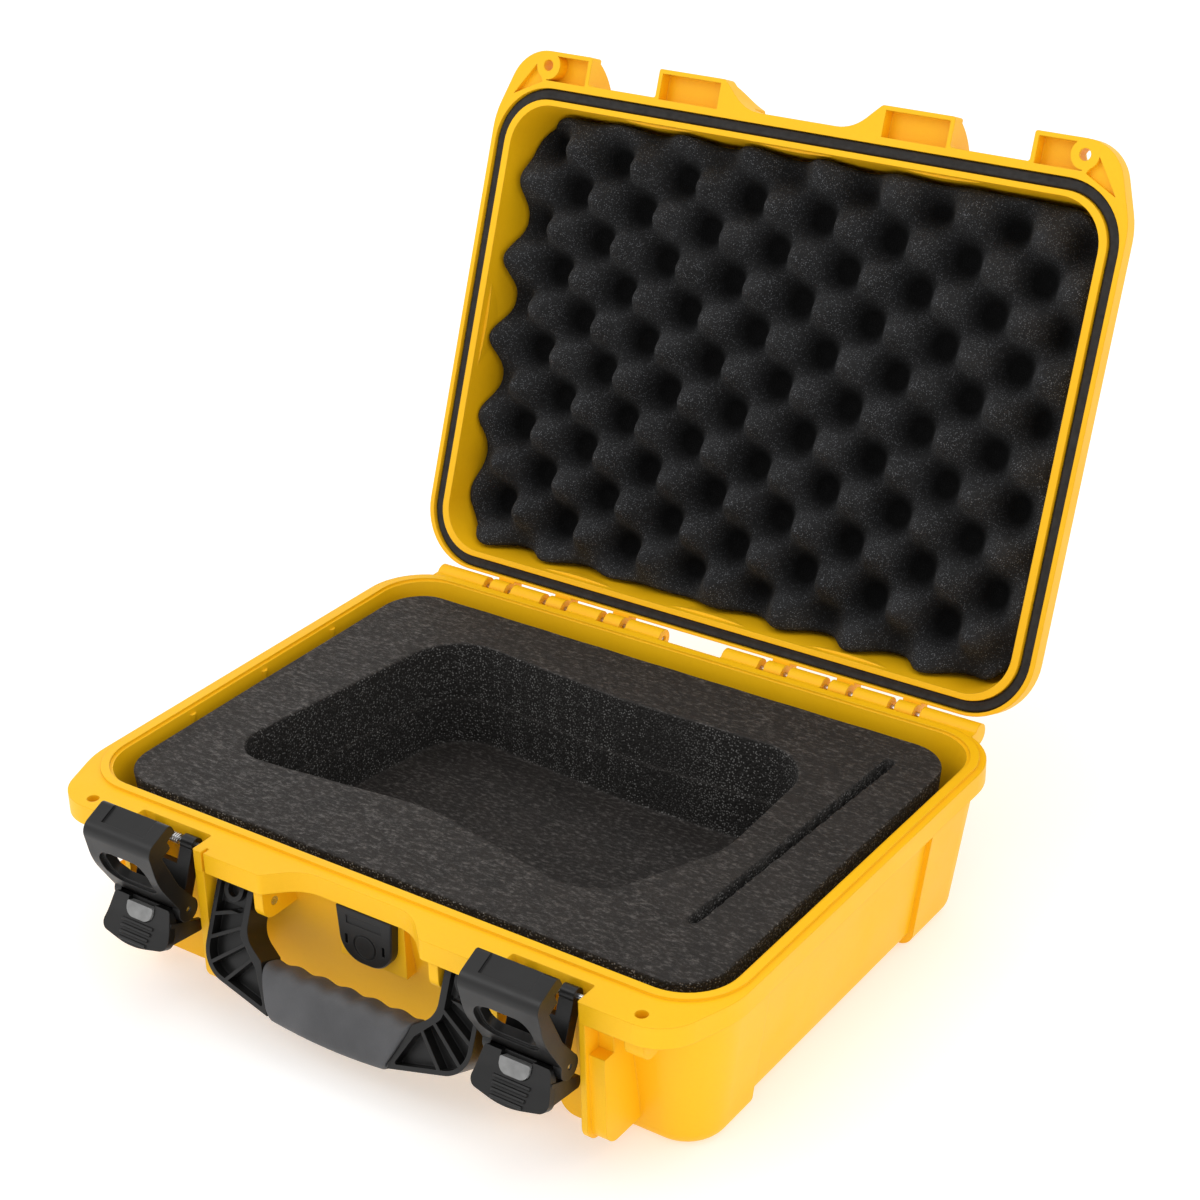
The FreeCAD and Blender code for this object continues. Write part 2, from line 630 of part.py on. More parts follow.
def lid_recesses():
    """Hollows on the rim side of the lid's blocks and ears."""
    front = FLANGE_FRONT_Y + RECESS_WALL
    block = box(BLOCK_X + RECESS_WALL, POCKET_IN - RECESS_WALL, front, RECESS_BACK_Y, LID_Z - 1, LID_Z + RECESS_DEPTH)
    ear = box(POCKET_OUT + RECESS_WALL, PADLOCK_X, front, RECESS_BACK_Y, LID_Z - 1, LID_Z + RECESS_DEPTH)
    corners = [(V(PADLOCK_X + BOSS_R, PADLOCK_Y, LID_Z - 1), 0),
               (V(EAR_X + EAR_POCKET_OUT, PADLOCK_Y + EAR_POCKET_LONG, LID_Z - 1), 0),
               (V(PADLOCK_X + RECESS_WALL, PADLOCK_Y + EAR_POCKET_WIDE, LID_Z - 1), 0)]
    corner = prism(rounded_wire(corners), RECESS_DEPTH / 2)
    boss = Part.makeCylinder(BOSS_R, FAR, V(PADLOCK_X, PADLOCK_Y, 0), Z_AXIS)
    return both_sides([block, ear.cut(boss), corner.cut(boss)])


def lid_bulges(cavity):
    """Soft bulges on the lid's inner walls that grip the foam."""
    band = box(-FAR, FAR, -FAR, FAR, LID_Z + BULGE_LOW, LID_Z + BULGE_HIGH)
    reach = BULGE_R - BULGE_DEPTH
    waves = []
    count_x = int(LIP_HALF_X / BULGE_PITCH)
    count_y = int(LIP_HALF_Y / BULGE_PITCH)
    for i in range(-count_x + 1, count_x):
        for side in (-1, 1):
            waves.append(V(i * BULGE_PITCH, side * (LIP_HALF_Y + reach), LID_Z))
    for i in range(-count_y + 1, count_y):
        for side in (-1, 1):
            waves.append(V(side * (LIP_HALF_X + reach), i * BULGE_PITCH, LID_Z))
    room = cavity.common(band)
    return [Part.makeCylinder(BULGE_R, GUSSET_H, p, Z_AXIS).common(room) for p in waves]


def lid_cavity():
    """Hollow of the lid."""
    low = rounded_rect(LIP_HALF_X, LIP_HALF_Y, LIP_CORNER_R, LID_Z)
    high = rounded_rect(LIP_HALF_X - LID_INNER_DRAFT, LIP_HALF_Y - LID_INNER_DRAFT, LIP_CORNER_R,
                        LID_Z + LID_H - LID_TOP)
    return tapered(low, high)


def lid_shell():
    """Lid with flange, gussets, seal groove and knuckles, closed."""
    low = rounded_rect(TOP_HALF_X, TOP_HALF_Y, TOP_CORNER_R, LID_Z)
    high = rounded_rect(LID_TOP_HALF_X, LID_TOP_HALF_Y, LID_TOP_CORNER_R, LID_Z + LID_H)
    dome = rounded_edge(tapered(low, high), LID_Z + LID_H, LID_EDGE_R)
    flange = prism(flange_outline(LID_Z, LEDGE_BACK_Y), LID_FLANGE_H)
    ledge = box(POCKET_IN, POCKET_OUT, -FAR, -TOP_HALF_Y, LID_Z + LATCH_LEDGE_H, LID_Z + GUSSET_H)
    flange = flange.cut(Part.makeCompound(both_sides([ledge])))
    knuckles = [knuckle(a, b, LID_Z, LID_Z + KNUCKLE_WEB_H) for a, b in lid_knuckle_spans()]
    shell = fuse([dome, flange] + gussets() + both_sides(knuckles))
    cavity = lid_cavity()
    hole = Part.makeCylinder(PADLOCK_R, FAR, V(PADLOCK_X, PADLOCK_Y, LID_Z - 1), Z_AXIS)
    cuts = [cavity, seal_ring(GROOVE_W, LID_Z - 1, GROOVE_DEPTH + 1)] + lid_recesses()
    cuts += both_sides([hole, hinge_bore(KNUCKLE_IN, KNUCKLE_OUT)])
    shell = shell.cut(Part.makeCompound(cuts))
    return fuse([shell] + lid_bulges(cavity))


def lid_gasket():
    """Seal in the lid's groove, rounded where the base's tongue meets it."""
    low_z = LID_Z + GROOVE_DEPTH - SOFT_CLEAR - GASKET_H
    ring = seal_ring(GROOVE_W - 2 * SOFT_CLEAR, low_z, GASKET_H)
    return rounded_edge(ring, low_z, GASKET_R)


def hinge_pin():
    """Steel pin of one hinge group."""
    return rod_x(PIN_R, KNUCKLE_IN + 1, KNUCKLE_OUT - PIN_INSET, HINGE_Y, HINGE_Z)


def opened(shape):
    """Shape of the closed lid swung to its open stop."""
    turned = shape.copy()
    turned.rotate(V(0, HINGE_Y, HINGE_Z), X_AXIS, -LID_OPEN_DEG)
    return turned


# Foam

def foam_block(z0, z1):
    """Slice of the base foam between two heights, narrower towards the floor."""
    bottom = FOOT_H + FLOOR
    top = RIM_Z - FOAM_DROP

    def section(z):
        """Outline of the foam at one height."""
        share = (top - z) / (top - bottom)
        half_x = FOAM_HALF_X - FOAM_TAPER_X * share
        half_y = FOAM_HALF_Y - FOAM_TAPER_Y * share
        return rounded_rect(half_x, half_y, FOAM_CORNER_R, z, FOAM_CENTRE_Y)
    return tapered(section(z0), section(z1))


def foam_pocket(z0, z1):
    """Waisted pocket in the base foam."""
    left = POCKET_LEFT_RIM - FOAM_HALF_X
    right = FOAM_HALF_X - POCKET_RIGHT_RIM
    front = FOAM_FRONT_Y + POCKET_FRONT_RIM
    rear = FOAM_REAR_Y - POCKET_REAR_RIM
    corners = [(left, front + POCKET_LEFT_IN, POCKET_SMALL_R),
               (left + POCKET_FRONT_FLAT, front + POCKET_FRONT_RISE, POCKET_BEND_R),
               (POCKET_WAIST_X, front + POCKET_WAIST, POCKET_WAIST_R),
               (right - POCKET_RIGHT_IN, front, POCKET_CORNER_R),
               (right, front + POCKET_RIGHT_BELLY, POCKET_BEND_R),
               (right - POCKET_RIGHT_LEAN, rear - POCKET_REAR_DROP, POCKET_CORNER_R),
               (0, rear - POCKET_REAR_WAIST, POCKET_WAIST_R),
               (left + POCKET_LEFT_LEAN, rear, POCKET_CORNER_R)]
    return prism(rounded_wire([(V(x, y, z0), r) for x, y, r in corners]), z1 - z0)


def slit_band(left, right, before, after):
    """Upright block along the slit: distances across its middle line, lengths past its two ends."""
    start = V(FOAM_HALF_X - SLIT_FRONT_RIM, FOAM_FRONT_Y + SLIT_FRONT_IN, FOAM_SPLIT_Z - 1)
    end = V(FOAM_HALF_X - SLIT_REAR_RIM, FOAM_REAR_Y - SLIT_REAR_IN, FOAM_SPLIT_Z - 1)
    along = V(end.x - start.x, end.y - start.y, 0).normalize()
    across = V(along.y, -along.x, 0)
    first = start - along * before
    last = end + along * after
    corners = [first + across * left, last + across * left, last + across * right, first + across * right]
    return prism(rounded_wire([(p, 0) for p in corners]), RIM_Z - FOAM_SPLIT_Z + 1)


def slit_length():
    """Length of the slit along its middle line."""
    return math.hypot(SLIT_FRONT_RIM - SLIT_REAR_RIM, FOAM_REAR_Y - SLIT_REAR_IN - FOAM_FRONT_Y - SLIT_FRONT_IN)


def upper_foam():
    """Upper foam layer with the pocket right through it, before the slit parts it."""
    block = foam_block(FOAM_SPLIT_Z, RIM_Z - FOAM_DROP)
    return block.cut(foam_pocket(FOAM_SPLIT_Z - 1, RIM_Z))


def base_foam_top():
    """Upper foam left of the slit."""
    return upper_foam().cut(slit_band(-SLIT_W / 2, FAR, FAR, FAR))


def base_foam_side():
    """Strip of upper foam right of the slit."""
    return upper_foam().common(slit_band(SLIT_W / 2, FAR, FAR, FAR))


def base_foam_spacer_front():
    """Thin block that closes the front end of the slit."""
    return upper_foam().common(slit_band(-SLIT_W / 2, SLIT_W / 2, FAR, -slit_length()))


def base_foam_spacer_rear():
    """Thin block that closes the rear end of the slit."""
    return upper_foam().common(slit_band(-SLIT_W / 2, SLIT_W / 2, -slit_length(), FAR))


def base_foam_bottom():
    """Lower foam layer with the rest of the pocket."""
    block = foam_block(FOOT_H + FLOOR + FOAM_FLOOR_CLEAR, FOAM_SPLIT_Z - SOFT_CLEAR)
    return block.cut(foam_pocket(FOAM_POCKET_Z, RIM_Z))


def foam_peak(x, y, foot_z, tip_z):
    """One rounded peak of the lid foam, pointing down when the lid is closed."""
    profile = [V(0, 0, foot_z + 1), V(PEAK_FOOT_R, 0, foot_z + 1), V(PEAK_FOOT_R, 0, foot_z),
               V(PEAK_SHOULDER_R, 0, tip_z + PEAK_SHOULDER_H), V(PEAK_TIP_R, 0, tip_z), V(0, 0, tip_z)]
    peak = Part.Face(Part.makePolygon(profile + profile[:1])).revolve(V(0, 0, 0), Z_AXIS, 360)
    peak.translate(V(x, y, 0))
    return peak


def lid_foam():
    """Slab of egg-crate foam in the lid, closed."""
    top_z = LID_Z + LID_H - LID_TOP - SOFT_CLEAR
    foot_z = top_z - LID_FOAM_SLAB
    slab = prism(rounded_rect(LID_FOAM_HALF_X, LID_FOAM_HALF_Y, LID_FOAM_CORNER_R, foot_z), LID_FOAM_SLAB)
    peaks = []
    rows = 1 + int(2 * (LID_FOAM_HALF_Y - PEAK_FOOT_R) / PEAK_PITCH_Y)
    columns = 1 + 2 * int((LID_FOAM_HALF_X - PEAK_FOOT_R) / PEAK_PITCH_X)
    for row in range(rows):
        shift = (row % 2) / 2
        y = (row - (rows - 1) / 2) * PEAK_PITCH_Y
        for column in range(columns - row % 2):
            x = (column + shift - (columns - 1) / 2) * PEAK_PITCH_X
            peaks.append(foam_peak(x, y, foot_z, LID_Z + LID_FOAM_TIP))
    return fuse([slab] + peaks)


# Handle, drawn upright and then leaned out

def leaned(shape):
    """Handle piece at its resting lean."""
    turned = shape.copy()
    turned.rotate(V(0, HANDLE_Y, HANDLE_Z), X_AXIS, -HANDLE_LEAN_DEG)
    return turned


def handle_low(x):
    """Height of the bail's bowed underside outside its flat middle."""
    rise = HANDLE_SIDE_UP * (x - HANDLE_FLAT_X) / (HANDLE_HALF_X - HANDLE_FLAT_X)
    return HANDLE_Z - HANDLE_DROP + rise


def handle_outline():
    """Corners of the bail from the front: (x, z, radius)."""
    top = HANDLE_Z + HANDLE_TOP
    low = HANDLE_Z - HANDLE_DROP
    shoulder = HANDLE_Z - HANDLE_SHOULDER
    outer = HANDLE_HALF_X
    inner = HANDLE_ARM_IN
    upper = low + HANDLE_GRIP_H
    right = [(inner, top, HANDLE_TIP_R), (outer, top, HANDLE_END_R), (outer, handle_low(outer), HANDLE_LOW_R),
             (HANDLE_FLAT_X, low, HANDLE_BOW_R)]
    left = [(-x, z, r) for x, z, r in reversed(right)]
    sweep = HANDLE_INNER_X
    inside = [(-inner, shoulder, HANDLE_BEND_R), (-sweep, upper, HANDLE_FOOT_R), (sweep, upper, HANDLE_FOOT_R),
              (inner, shoulder, HANDLE_BEND_R)]
    return right + left + inside


def handle_blank():
    """Plain bail of full depth."""
    front = HANDLE_Y - HANDLE_DEPTH / 2
    wire = rounded_wire([(V(x, front, z), r) for x, z, r in handle_outline()])
    blank = Part.Face(wire).extrude(Y_AXIS * HANDLE_DEPTH)
    top = HANDLE_Z + HANDLE_TOP
    low = HANDLE_Z - HANDLE_DROP - 1
    back = HANDLE_Y + HANDLE_DEPTH / 2
    round_end = HANDLE_TOP - 0.1
    profile = [(front, low, 0), (back, low, 0), (back, top, round_end), (front, top, round_end)]
    return blank.common(slab_x(profile, -FAR, FAR))


def arm_hollow():
    """Hollow in the front of one arm, open between ribs that fan out from one point."""
    shoulder = HANDLE_Z - HANDLE_SHOULDER
    upper = HANDLE_Z - HANDLE_DROP + HANDLE_GRIP_H - HANDLE_TIP_R
    inner = HANDLE_ARM_IN + HANDLE_TUBE
    outer = HANDLE_HALF_X - HANDLE_WALL
    front = HANDLE_Y - HANDLE_DEPTH / 2 - 1
    grip_end = GRIP_LOW_HALF_X + 2 * HANDLE_WALL
    corners = [(inner, HANDLE_Z - LUG_R, 1), (outer, HANDLE_Z - LUG_R, 1),
               (outer, handle_low(outer) + HANDLE_WALL, HANDLE_LOW_R - HANDLE_WALL),
               (grip_end, handle_low(grip_end) + HANDLE_WALL, 1), (GRIP_HALF_X + HANDLE_WALL, upper, 1),
               (inner, shoulder, HANDLE_TUBE_R)]
    wire = rounded_wire([(V(x, front, z), r) for x, z, r in corners])
    depth = (HANDLE_DEPTH - HANDLE_WEB) / 2 + 1
    hollow = Part.Face(wire).extrude(Y_AXIS * depth)
    fan = V(HANDLE_FAN_X, 0, HANDLE_Z + HANDLE_FAN_UP)
    ribs = []
    for i in range(HANDLE_RIBS):
        rib = box(fan.x, fan.x + FAR, front, front + depth, fan.z - HANDLE_RIB_T / 2, fan.z + HANDLE_RIB_T / 2)
        rib.rotate(fan, Y_AXIS, HANDLE_RIB_DEG + i * HANDLE_RIB_STEP_DEG)
        ribs.append(rib)
    return hollow.cut(Part.makeCompound(ribs))


def arm_end_hollow():
    """Shallow hollow round the pin with a U-shaped wall left standing in it."""
    inner = HANDLE_ARM_IN + HANDLE_TUBE
    outer = HANDLE_HALF_X - HANDLE_WALL
    front = HANDLE_Y - HANDLE_DEPTH / 2 - 1
    depth = HANDLE_END_DEPTH + 1
    top = HANDLE_Z + HANDLE_TOP
    hollow = box(inner, outer, front, front + depth, HANDLE_Z - LUG_R - HANDLE_RIB_T, top - HANDLE_WALL)
    middle = V((inner + outer) / 2, front, HANDLE_Z)

    def bow(r):
        """Round-ended upright block about the pin's middle."""
        round_end = Part.makeCylinder(r, depth, middle, Y_AXIS)
        return round_end.fuse(box(middle.x - r, middle.x + r, front, front + depth, HANDLE_Z, top))
    return hollow.cut(bow(HANDLE_U_R).cut(bow(HANDLE_U_R - HANDLE_U_T)))


def grip_core(grow):
    """Straight middle of the bail, thicker by a given amount all round."""
    low = HANDLE_Z - HANDLE_DROP
    half = HANDLE_DEPTH / 2 + grow
    z0 = low - grow
    z1 = low + HANDLE_GRIP_H + grow
    r = GRIP_R + grow / 2
    profile = [(HANDLE_Y - half, z0, r), (HANDLE_Y + half, z0, r), (HANDLE_Y + half, z1, r), (HANDLE_Y - half, z1, r)]
    return slab_x(profile, -GRIP_HALF_X, GRIP_HALF_X)


def grip_wedge(grow):
    """Front view of the sleeve, shorter along its lower side, carried through the handle's depth."""
    low = HANDLE_Z - HANDLE_DROP - GRIP_T
    high = low + HANDLE_GRIP_H + 2 * GRIP_T
    lean = (GRIP_HALF_X - GRIP_LOW_HALF_X) / (high - low)
    rise = GRIP_BUMP_H + 1
    top = GRIP_HALF_X + lean * rise + grow
    bottom = GRIP_LOW_HALF_X - lean * rise + grow
    corners = [(-bottom, low - rise), (bottom, low - rise), (top, high + rise), (-top, high + rise)]
    wire = rounded_wire([(V(x, -FAR, z), 0) for x, z in corners])
    return Part.Face(wire).extrude(Y_AXIS * FAR)


def handle_frame():
    """Moulded bail with hollow arms; its middle is the core of the grip."""
    sleeve_room = grip_wedge(0).cut(grip_core(0))
    frame = handle_blank().cut(sleeve_room)
    hollows = both_sides([arm_hollow(), arm_end_hollow()])
    rear = []
    for h in hollows:
        rear.append(h.mirror(V(0, HANDLE_Y, 0), Y_AXIS))
    bores = both_sides([rod_x(HANDLE_PIN_R + PIN_CLEAR, HANDLE_ARM_IN - 1, HANDLE_HALF_X + 1, HANDLE_Y, HANDLE_Z)])
    return frame.cut(Part.makeCompound(hollows + rear + bores))


def handle_grip():
    """Soft sleeve on the middle of the bail, with finger bumps on its upper side."""
    low = HANDLE_Z - HANDLE_DROP
    sleeve = [grip_core(GRIP_T)]
    reach = GRIP_BUMP_R - GRIP_BUMP_H
    half = HANDLE_DEPTH / 2
    upper = box(-GRIP_HALF_X, GRIP_HALF_X, -FAR, 0, low + HANDLE_GRIP_H, FAR)
    for i in range(GRIP_BUMPS):
        x = (i - (GRIP_BUMPS - 1) / 2) * GRIP_BUMP_PITCH
        middle = V(x, HANDLE_Y - half + GRIP_R / 2, low + HANDLE_GRIP_H + GRIP_T - reach)
        bump = Part.makeCylinder(GRIP_BUMP_R, HANDLE_DEPTH - GRIP_R, middle, Y_AXIS)
        sleeve.append(bump.common(upper))
    return fuse(sleeve).common(grip_wedge(-SOFT_CLEAR)).cut(grip_core(SOFT_CLEAR / 3))


def handle_pin():
    """Steel pin through the lug and the arm, right hand side."""
    return rod_x(HANDLE_PIN_R, LUG_IN, POCKET_IN - INNER_PILLAR_W / 2 - 1, HANDLE_Y, HANDLE_Z)


# Pressure valve

def valve_middle():
    """Centre of the valve's round end."""
    return V(0, VALVE_BOSS_FRONT_Y, (VALVE_TOP_Z + VALVE_LOW_Z) / 2)


def valve_body():
    """Half-round plate with a hollow stem through the wall."""
    foot = VALVE_HALF_X * VALVE_TAPER
    bend = VALVE_HALF_X * VALVE_ROUND
    corners = [(-VALVE_HALF_X, VALVE_TOP_Z, 1), (VALVE_HALF_X, VALVE_TOP_Z, 1), (foot, VALVE_LOW_Z, bend), (-foot, VALVE_LOW_Z, bend)]
    wire = rounded_wire([(V(x, VALVE_BOSS_FRONT_Y - VALVE_T, z), r) for x, z, r in corners])
    plate = Part.Face(wire).extrude(Y_AXIS * VALVE_T)
    outer = [e for e in plate.Edges if abs(e.BoundBox.YMax - (VALVE_BOSS_FRONT_Y - VALVE_T)) < 0.01]
    plate = plate.makeChamfer(VALVE_CHAMFER, outer)
    middle = valve_middle()
    stem = Part.makeCylinder(VALVE_STEM_R, VALVE_STEM_L + 1, middle - Y_AXIS, Y_AXIS)
    bore = Part.makeCylinder(VALVE_BORE_R, VALVE_STEM_L + 1, middle - Y_AXIS * 0.5, Y_AXIS)
    groove = Part.makeTorus(VALVE_SEAL_R, VALVE_SEAL_WIRE_R + SOFT_CLEAR, middle, Y_AXIS)
    front = middle.y - VALVE_T
    slot = box(VALVE_SLOT_X - VALVE_SLOT_HALF, VALVE_SLOT_X + VALVE_SLOT_HALF, front - 1, front + VALVE_SLOT_DEPTH,
               middle.z - VALVE_SLOT_L, middle.z)
    slots = both_sides([slot])
    label = box(-VALVE_LABEL_HALF_X, VALVE_LABEL_HALF_X, front - 1, front + VALVE_LABEL_DEPTH,
                VALVE_TOP_Z - VALVE_LABEL_LOW, VALVE_TOP_Z - VALVE_LABEL_HIGH)
    ring_place = V(0, front - 1, VALVE_RING_Z)
    ring = Part.makeCylinder(VALVE_RING_R, VALVE_RING_DEPTH + 1, ring_place, Y_AXIS)
    ring = ring.cut(Part.makeCylinder(VALVE_RING_R - VALVE_RING_W, VALVE_RING_DEPTH + 1, ring_place, Y_AXIS))
    return plate.fuse(stem).cut(Part.makeCompound([bore, groove, label, ring] + slots)).removeSplitter()


def valve_seal():
    """Round seal between the valve and its boss, half sunk in the valve."""
    middle = valve_middle()
    return Part.makeTorus(VALVE_SEAL_R, VALVE_SEAL_WIRE_R, middle, Y_AXIS).common(
        box(-FAR, FAR, -FAR, VALVE_BOSS_FRONT_Y - 0.05, 0, FAR))


def valve_membrane():
    """Breathing disc in the valve's stem."""
    middle = valve_middle()
    return Part.makeCylinder(VALVE_BORE_R - VALVE_FIT, VALVE_MEMBRANE_T, middle + Y_AXIS * VALVE_MEMBRANE_T, Y_AXIS)


# Latch, right hand side, drawn closed

def bar_profile():
    """Side view of the claw: bowed front, crown and hook."""
    under = LID_Z + LATCH_LEDGE_H + HOOK_CLEAR
    inner = CLAW_FRONT_Y + CLAW_PLATE
    return [(CLAW_FRONT_Y, CLAW_PLATE_LOW_Z, 0), (CLAW_BELLY_Y, CLAW_BELLY_Z, CLAW_BELLY_R),
            (CLAW_CROWN_Y, CLAW_TOP_Z, CLAW_CROWN_R), (CLAW_HOOK_Y, CLAW_TOP_Z, 3), (CLAW_HOOK_Y, under, 1),
            (LEDGE_BACK_Y - 1, under, 0.8), (LEDGE_BACK_Y - 1, CLAW_BAR_LOW_Z, 1), (inner, CLAW_BAR_LOW_Z, 2),
            (inner, CLAW_PLATE_LOW_Z, 0)]


def claw_window(grow, depth):
    """Rounded slot through the claw's front, grown by a rim and cut to a depth behind the belly."""
    half = CLAW_WINDOW_HALF_X + grow
    low = CLAW_WINDOW_LOW_Z - grow
    high = CLAW_WINDOW_HIGH_Z + grow
    front = CLAW_BELLY_Y - 1
    corners = [(LATCH_X - half, low), (LATCH_X + half, low), (LATCH_X + half, high), (LATCH_X - half, high)]
    wire = rounded_wire([(V(x, front, z), CLAW_WINDOW_R + grow) for x, z in corners])
    return Part.Face(wire).extrude(Y_AXIS * (depth + 1))


def latch_claw():
    """Hooked claw: front plate with a window, side cheeks and a bar over the lid's ledge."""
    x0 = LATCH_X - CLAW_HALF_X
    x1 = LATCH_X + CLAW_HALF_X
    bar = slab_x(bar_profile(), x0, x1)
    cheeks = []
    for a, b in ((x0, x0 + CLAW_CHEEK), (x1 - CLAW_CHEEK, x1)):
        side = slab_x([(CLAW_FRONT_Y, CLAW_PIN_Z, 0), (CLAW_PIN_Y + CLAW_BARREL_R, CLAW_PIN_Z, 0),
                       (CLAW_CHEEK_BACK_Y, CLAW_WINDOW_LOW_Z, 6), (CLAW_CHEEK_BACK_Y, CLAW_BAR_LOW_Z + 1, 0),
                       (CLAW_FRONT_Y, CLAW_BAR_LOW_Z + 1, 0)], a, b)
        cheeks.append(side)
        cheeks.append(rod_x(CLAW_BARREL_R, a, b, CLAW_PIN_Y, CLAW_PIN_Z))
    claw = fuse([bar] + cheeks)
    step = CLAW_FRONT_Y - CLAW_BELLY_Y
    cuts = [claw_window(0, step + CLAW_PLATE + 1), claw_window(CLAW_WINDOW_RIM, step)]
    dent = CLAW_TOP_DENT_HALF_X
    cuts.append(box(LATCH_X - dent, LATCH_X + dent, CLAW_CROWN_Y + CLAW_CROWN_R, CLAW_HOOK_Y + 1,
                    CLAW_TOP_Z - CLAW_TOP_DENT, CLAW_TOP_Z + 1))
    cuts.append(rod_x(CLAW_PIN_R + PIN_CLEAR, x0 - 1, x1 + 1, CLAW_PIN_Y, CLAW_PIN_Z))
    return claw.cut(Part.makeCompound(cuts))


def latch_lever():
    """Lever: arm hung on the rod, knuckle for the claw pin and flared paddle with grip ridges."""
    x0 = LATCH_X - LEVER_HALF_X
    x1 = LATCH_X + LEVER_HALF_X
    arm_front = ROD_Y - LEVER_ARM / 2
    arm = box(x0, x1, arm_front, arm_front + LEVER_ARM, LEVER_WAIST_LOW_Z, ROD_Z)
    crown = rod_x(LEVER_TOP_R, x0, x1, ROD_Y, ROD_Z)
    knuckle_part = rod_x(LEVER_KNUCKLE_R, x0, x1, CLAW_PIN_Y, CLAW_PIN_Z)
    waist = box(x0, x1, PADDLE_FRONT_Y + 1, arm_front + LEVER_ARM, LEVER_WAIST_LOW_Z, LEVER_WAIST_HIGH_Z)
    top = PADDLE_TOP_HALF_X
    half = PADDLE_HALF_X
    corner = PADDLE_LOW_Z + PADDLE_CROWN
    shape = [(LATCH_X - top, PADDLE_TOP_Z, 2), (LATCH_X + top, PADDLE_TOP_Z, 2),
             (LATCH_X + half, corner, PADDLE_CORNER_R), (LATCH_X, PADDLE_LOW_Z, PADDLE_CROWN_R),
             (LATCH_X - half, corner, PADDLE_CORNER_R)]
    lip_y = PADDLE_FRONT_Y - PADDLE_LIP
    wire = rounded_wire([(V(x, lip_y, z), r) for x, z, r in shape])
    bent = slab_x([(PADDLE_FRONT_Y, PADDLE_TOP_Z, 0), (PADDLE_FRONT_Y, PADDLE_BEND_Z, PADDLE_BEND_R), (lip_y, PADDLE_LOW_Z, 0),
                   (lip_y + PADDLE, PADDLE_LOW_Z, 0), (PADDLE_FRONT_Y + PADDLE, PADDLE_BEND_Z, PADDLE_BEND_R),
                   (PADDLE_FRONT_Y + PADDLE, PADDLE_TOP_Z, 0)], LATCH_X - half, LATCH_X + half)
    paddle = Part.Face(wire).extrude(Y_AXIS * (PADDLE + PADDLE_LIP)).common(bent)
    skirts = []
    for a, b in ((-SKIRT_OUT, -SKIRT_IN), (SKIRT_IN, SKIRT_OUT)):
        skirts.append(slab_x([(PADDLE_FRONT_Y + 1, SKIRT_TOP_Z, 0), (PADDLE_FRONT_Y + 1, SKIRT_LOW_Z, 0),
                              (SKIRT_BACK_Y, SKIRT_REAR_LOW_Z, SKIRT_R), (SKIRT_BACK_Y, SKIRT_TOP_Z, SKIRT_R)],
                             LATCH_X + a, LATCH_X + b))
    ridges = []
    for i in range(PADDLE_RIDGES):
        z = LOCK_LOW_Z - 1 - (i + 0.5) * PADDLE_RIDGE_PITCH
        lean = PADDLE_LIP * max(0, PADDLE_BEND_Z - z) / (PADDLE_BEND_Z - PADDLE_LOW_Z)
        reach = PADDLE_RIDGE_HALF_X - i * PADDLE_RIDGE_R / 2
        ridges.append(rod_x(PADDLE_RIDGE_R, LATCH_X - reach, LATCH_X + reach, PADDLE_FRONT_Y - lean, z))
    lever = fuse([arm, crown, knuckle_part, waist, paddle] + skirts + ridges)
    window = box(LATCH_X - LEVER_WINDOW_HALF_X, LATCH_X + LEVER_WINDOW_HALF_X, -FAR, 0, LEVER_WINDOW_LOW_Z,
                 ROD_Z + LEVER_TOP_R + 1)
    seat = lock_blank(LOCK_CLEAR, LOCK_TRAVEL)
    bores = [rod_x(ROD_R + PIN_CLEAR, x0 - 1, x1 + 1, ROD_Y, ROD_Z),
             rod_x(CLAW_PIN_R + PIN_CLEAR, x0 - 1, x1 + 1, CLAW_PIN_Y, CLAW_PIN_Z)]
    room = CLAW_BARREL_R + BARREL_CLEAR
    wings = [rod_x(room, x0 - FAR, x0, CLAW_PIN_Y, CLAW_PIN_Z), rod_x(room, x1, x1 + FAR, CLAW_PIN_Y, CLAW_PIN_Z)]
    return lever.cut(Part.makeCompound([window, seat] + bores)).cut(Part.makeCompound(wings))


def lock_blank(grow, travel):
    """Half-moon block of the lock slide, grown by a clearance and stretched by its travel."""
    half = LOCK_HALF_X + grow
    low = LOCK_LOW_Z - grow
    top = LOCK_TOP_Z + grow + travel
    front = PADDLE_FRONT_Y - LOCK_PROUD
    wire = rounded_wire([(V(LATCH_X - half, front, low), half * 0.6), (V(LATCH_X + half, front, low), half * 0.6),
                         (V(LATCH_X + half, front, top), 1), (V(LATCH_X - half, front, top), 1)])
    return Part.Face(wire).extrude(Y_AXIS * (LOCK_PROUD + LOCK_DEPTH + (SOFT_CLEAR if grow else 0)))


def latch_lock():
    """Sliding lock button."""
    return lock_blank(0, 0)


def latch_rod():
    """Steel rod across the latch pocket."""
    return rod_x(ROD_R, POCKET_IN - ROD_SEAT + 0.5, POCKET_OUT + ROD_SEAT - 0.5, ROD_Y, ROD_Z)


def latch_claw_pin():
    """Steel pin that joins claw and lever."""
    return rod_x(CLAW_PIN_R, LATCH_X - CLAW_HALF_X + 0.5, LATCH_X + CLAW_HALF_X - 0.5, CLAW_PIN_Y, CLAW_PIN_Z)


